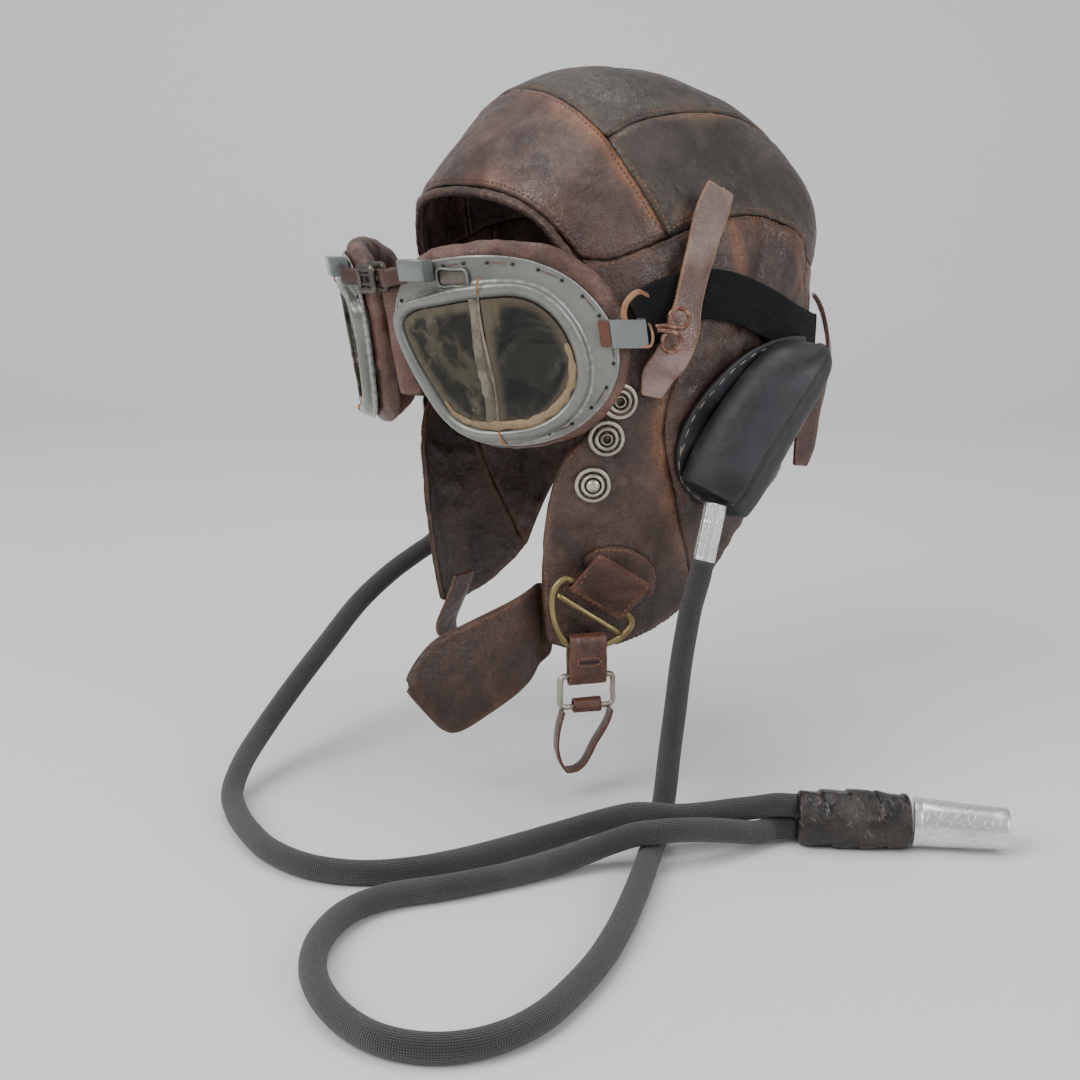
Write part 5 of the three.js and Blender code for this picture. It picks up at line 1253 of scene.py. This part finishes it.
front_glass = lens_finish("front lens glass", (0.009, 0.0095, 0.006), (0.055, 0.050, 0.029),
                          (0.150, 0.136, 0.092), (0.130, 0.108, 0.066), 0.70)
side_glass = lens_finish("side lens glass", (0.004, 0.005, 0.005), (0.017, 0.018, 0.014),
                         (0.100, 0.088, 0.070), (0.160, 0.125, 0.078), 0.42)
seal_finish = leather_finish("dried lens sealing", (0.22, 0.155, 0.085), (0.35, 0.255, 0.145),
                             (0.46, 0.36, 0.22), (0.42, 0.26, 0.12), 0.6, 0.6, 0.5)


def joint_finish():
    """The frosted, yellowed strip where the two panes meet."""
    finish = Finish("pane joint")
    place = finish.place()
    frost = finish.cloud(110.0, 5.0, 0.6, place, 0.6)
    colour = finish.blend(finish.between(frost, 0.38, 0.66), (0.175, 0.150, 0.108), (0.265, 0.238, 0.185))
    return finish.done(Base_Color=colour, Alpha=finish.between(frost, 0.35, 0.66, 0.50, 0.82),
                       Roughness=finish.between(frost, 0.4, 0.7, 0.2, 0.45))


pane_joint = joint_finish()
rust_mark = thread_finish("rust orange lacquer", (0.36, 0.155, 0.055), 0.3)
lens_outline = [(0.06, 0.14), (0.1, 0.19), (0.18, 0.215), (0.3, 0.24), (0.46, 0.275), (0.6, 0.295),
                (0.7, 0.25), (0.775, 0.13), (0.81, -0.04), (0.79, -0.18), (0.715, -0.3), (0.61, -0.375),
                (0.46, -0.405), (0.34, -0.4), (0.25, -0.345), (0.17, -0.2), (0.09, 0.0)]
frame_outline = [(0.0, 0.14), (0.06, 0.33), (0.14, 0.44), (0.3, 0.48), (0.46, 0.5), (0.64, 0.49),
                 (0.8, 0.42), (0.91, 0.3), (0.98, 0.15), (1.0, 0), (0.97, -0.15), (0.89, -0.29),
                 (0.76, -0.42), (0.6, -0.49), (0.44, -0.5), (0.3, -0.48), (0.19, -0.41), (0.1, -0.24),
                 (0.03, -0.04)]


def flat_outline(rows, inset=0.0):
    """An outline on the unbent sheet, moved in towards its own middle by inset millimetres."""
    points = through([(s * eye_width, h * eye_height, 0.0) for s, h in rows], True, 1.5)
    middle = Vector((0.46 * eye_width, -0.05 * eye_height, 0.0))
    return [point + (middle - point).normalized() * inset for point in points]


pad_finish = leather_finish("rolled pad leather", (0.060, 0.027, 0.020), (0.125, 0.060, 0.045),
                            (0.235, 0.140, 0.112), (0.26, 0.125, 0.085), 0.7, 0.7, 0.34)
# Near-black marks for the lacing holes: painted shade where the holes open.
hole_shade_finish = leather_finish("painted lacing hole shade", (0.006, 0.005, 0.004), (0.013, 0.010, 0.008),
                             (0.02, 0.015, 0.012), (0.02, 0.015, 0.012))
lacing = thread_finish("lacing thread", (0.17, 0.095, 0.075), 0.5)


def wrinkled(place, normal, gap):
    ring = soft_noise(place, 5.5, 3.0) * 0.55 + soft_noise(place, 2.4, 7.0) * 0.16
    return normal * ((0.5 + ring + 0.8 * soft_noise(place, 17.0, 1.0)) * MM)


def crumbled(run, angle):
    thick = 0.55 + 0.85 * math.sin(min(run / 75.0, 1.0) * math.pi) ** 0.5
    return thick * (1.0 + 0.75 * noise.noise(Vector((run * 0.24, math.cos(angle), math.sin(angle) * 0.5))))


def ragged(run, angle):
    return 1.0 + 0.3 * noise.noise(Vector((run * 0.3, 0.0, 4.0)))


def sheet_points(rows, sign, gap=0.8, closed=False):
    """A smooth line through rows of s, h and d on the bent sheet."""
    return through([eye_point(*row, sign) for row in rows], closed, gap)


divide = bend_share * eye_width
for side, sign in (("left", 1), ("right", -1)):
    rim, _ = softened("goggle_frame_" + side, "goggle_frame_pressing_" + side, 3, 0.35, sharp=1.1)
    finished(rim, grey_paint, "frame_paint", "goggle_frame_" + side)
    for part, glass in (("front", front_glass), ("side", side_glass)):
        pane, _ = softened(f"lens_{part}_{side}", f"lens_{part}_glass_{side}", 1, 1.0)
        pane.data.shade_flat()
        finished(pane, glass, "lens", f"lens_{part}_{side}")
    pad, _ = softened("face_pad_" + side, "face_pad_roll_" + side, 3, 0.0)
    moved(pad, wrinkled)
    finished(marked(pad), pad_finish, "pad_leather", "face_pad_" + side)
    edge = flat_outline(lens_outline, 1.5)
    first = next(k for k, point in enumerate(edge) if point.x > 0.78 * eye_width)
    edge = [point for point in edge[first:] if point.x > 0.22 * eye_width]
    seal_path = [eye_point(point.x, point.y, 3.9 + 0.3 * noise.noise(point * 0.3), sign) for point in edge]
    seal = swept("lens_sealing_" + side, seal_path, crumbled, 10, False, (1.35, 0.8),
                 eye_point(48, -6, 3, sign) - eye_point(80, 0, 3, sign))
    finished(marked(seal, 0.01), seal_finish, "lens")
    bar_path = [eye_point(divide + 0.6 * math.sin(k / 4), (-0.375 + 0.67 * k / 24) * eye_height, 4.0, sign)
                for k in range(25)]
    finished(swept("lens_divider_" + side, bar_path, 0.5, 8), pane_joint, "lens")
    strip_path = [eye_point(divide - 2.4 + 0.5 * math.sin(k / 3), (-0.40 + 0.68 * k / 24) * eye_height, 3.75,
                            sign) for k in range(25)]
    strip = swept("pane_joint_strip_" + side, strip_path, ragged, 10, False, (1.9, 0.12),
                  eye_point(60, 0, 0, sign) - eye_point(50, 0, 0, sign))
    finished(strip, pane_joint, "lens")
    for end, heights in (("top", (22.6, 24.4, 27.4, 28.6)), ("bottom", (-31.2, -33.0, -35.0, -36.4))):
        rows = [(divide + 0.4 * k, h, d) for k, (h, d) in enumerate(zip(heights, (4.5, 6.25, 5.7, 2.2)))]
        finished(swept(f"rim_mark_{end}_{side}", sheet_points(rows, sign), 0.42, 8), rust_mark, "lens")
    rows = []
    for point in flat_outline(frame_outline, 3.1):
        spot = eye_point(point.x, point.y, flange_plate + 0.28, sign)
        rows.append((spot * MM, (spot - eye_point(point.x, point.y, 0.0, sign)).normalized()))
    rows.append(rows[0])
    # The lacing holes as painted shade marks along the flange.
    sewn("frame_lacing_holes_" + side, [rows], hole_shade_finish, 9.5, 1.7, 1.5, 0.0, 0.12)
    sewn("frame_lacing_" + side, [rows[3:] + rows[1:4]], lacing, 19.0, 8.2, 0.55, 0.03, 0.1)

strap("nose_leather", "nose_bridge_leather", pad_finish, "pad_leather", 3, 0.7, 0.5, 5.0)


def bevelled(node, title, finish, slot, width=0.7):
    """A hard piece from its solid with small rounded edges."""
    piece = shown(title, plain_copy(node))
    bevel = piece.modifiers.new("bevel", "BEVEL")
    bevel.width = width * MM
    bevel.segments = 4
    bevel.limit_method = "ANGLE"
    bevel.angle_limit = math.radians(35)
    settled(piece).shade_smooth()
    return finished(marked(piece, 0.004), finish, slot, node)


dark_metal = bright_metal("dark buckle metal", (0.17, 0.155, 0.135), (0.07, 0.060, 0.052), 0.34, 0.4)
clip_leather = leather_finish("clip tab leather", (0.085, 0.028, 0.015), (0.155, 0.053, 0.027),
                              (0.23, 0.092, 0.050), (0.30, 0.13, 0.07), 0.5, 0.6, 0.4, 0.0,
                              (0.10, 0.035, 0.018))
thong_leather = leather_finish("tan thong leather", (0.22, 0.095, 0.045), (0.36, 0.175, 0.090),
                               (0.45, 0.250, 0.150), (0.34, 0.15, 0.07), 0.5, 0.5, 0.4)
buckle_middle = Vector((0.0, -110.93, -86.5))
buckle_up = Vector((0.0, -0.1724, 0.985))
buckle_out = Vector((0.0, -0.985, -0.1724))


def on_buckle(x, up, out):
    return buckle_middle + Vector((x, 0, 0)) + buckle_up * up + buckle_out * out


for title, out, wide, tall, nodes in (("front", 2.7, 5.3, 4.3, ["bridge_adjuster"]),
                                      ("back", -2.7, 5.6, 4.5, [])):
    corners = [(-wide, -tall), (0, -tall), (wide, -tall), (wide, 0), (wide, tall), (0, tall), (-wide, tall),
               (-wide, 0)]
    loop = through([on_buckle(x, up, out) for x, up in corners], True, 0.8)
    wire = swept("bridge_buckle_" + title, loop, 1.15, 10, True, (1.0, 1.3))
    finished(wire, dark_metal, "dark_metal", *nodes)
for title, up in (("low", -1.9), ("high", 1.9)):
    bar = [on_buckle(x, up, 2.4) for x in (-5.2, -2.6, 0, 2.6, 5.2)]
    finished(swept("bridge_buckle_bar_" + title, bar, 0.85, 10), dark_metal, "dark_metal")

thong_rows = [(98.0, 11.0, 2.4), (97.6, 15.5, 2.6), (99.5, 20.0, 2.0), (104.0, 23.5, 0.0),
              (108.0, 22.0, -4.0)]
tie_rows = [(103.0, 2.6, 3.2), (106.3, 3.0, 4.0), (107.6, 6.5, 3.6), (107.2, 10.0, 1.0), (106.8, 11.0, -3.0)]
plate_rows = [(27.0, 25.6, 2.3), (34.0, 25.4, 2.3), (40.6, 25.8, 2.3), (41.0, 28.6, 2.3), (40.6, 31.4, 2.3),
              (34.0, 31.8, 2.3), (27.0, 31.4, 2.3)]
for side, sign in (("left", 1), ("right", -1)):
    bevelled("bridge_clamp_" + side, "bridge_clamp_block_" + side, blue_paint, "frame_paint", 0.9)
    bevelled("clip_tab_" + side, "clip_tab_leather_" + side, clip_leather, "pad_leather", 0.3)
    bevelled("strap_clip_" + side, "strap_clip_fold_" + side, blue_paint, "frame_paint", 0.45)
    strip = [(0.4 * sign, -110.9, -86.5), (3.4 * sign, -111.2, -86.3), (6.9 * sign, -111.0, -86.2)]
    strip += [eye_point(*row, sign) for row in ((3.5, 28.0, 6.8), (9.0, 29.0, 6.2), (13.6, 29.6, 5.6))]
    adjusting = swept("adjusting_strap_" + side, through(strip, False, 0.8), 1.0, 12, False, (3.6, 0.62),
                      buckle_up)
    thong = swept("clip_thong_" + side, sheet_points(thong_rows, sign), 1.0, 10, False, (1.25, 0.5),
                  eye_point(50, 0, 0, sign) - eye_point(40, 0, 0, sign))
    tie = swept("clip_tie_" + side, sheet_points(tie_rows, sign), 0.55, 8)
    for piece, finish in ((adjusting, dark_strap), (thong, thong_leather), (tie, thong_leather)):
        finished(marked(piece, 0.004), finish, "pad_leather")
    border = swept("frame_plate_border_" + side, sheet_points(plate_rows, sign, 0.9, True), 0.6, 8, True)
    finished(marked(border, 0.004), grey_paint, "frame_paint")
    plate_path = [eye_point(27.2 + 13.2 * k / 12, 28.6, 1.95, sign) for k in range(13)]
    plate = swept("frame_plate_" + side, plate_path, 1.0, 12, False, (2.9, 0.32),
                  eye_point(30, 10, 0, sign) - eye_point(30, 0, 0, sign))
    finished(plate, dark_metal, "dark_metal")
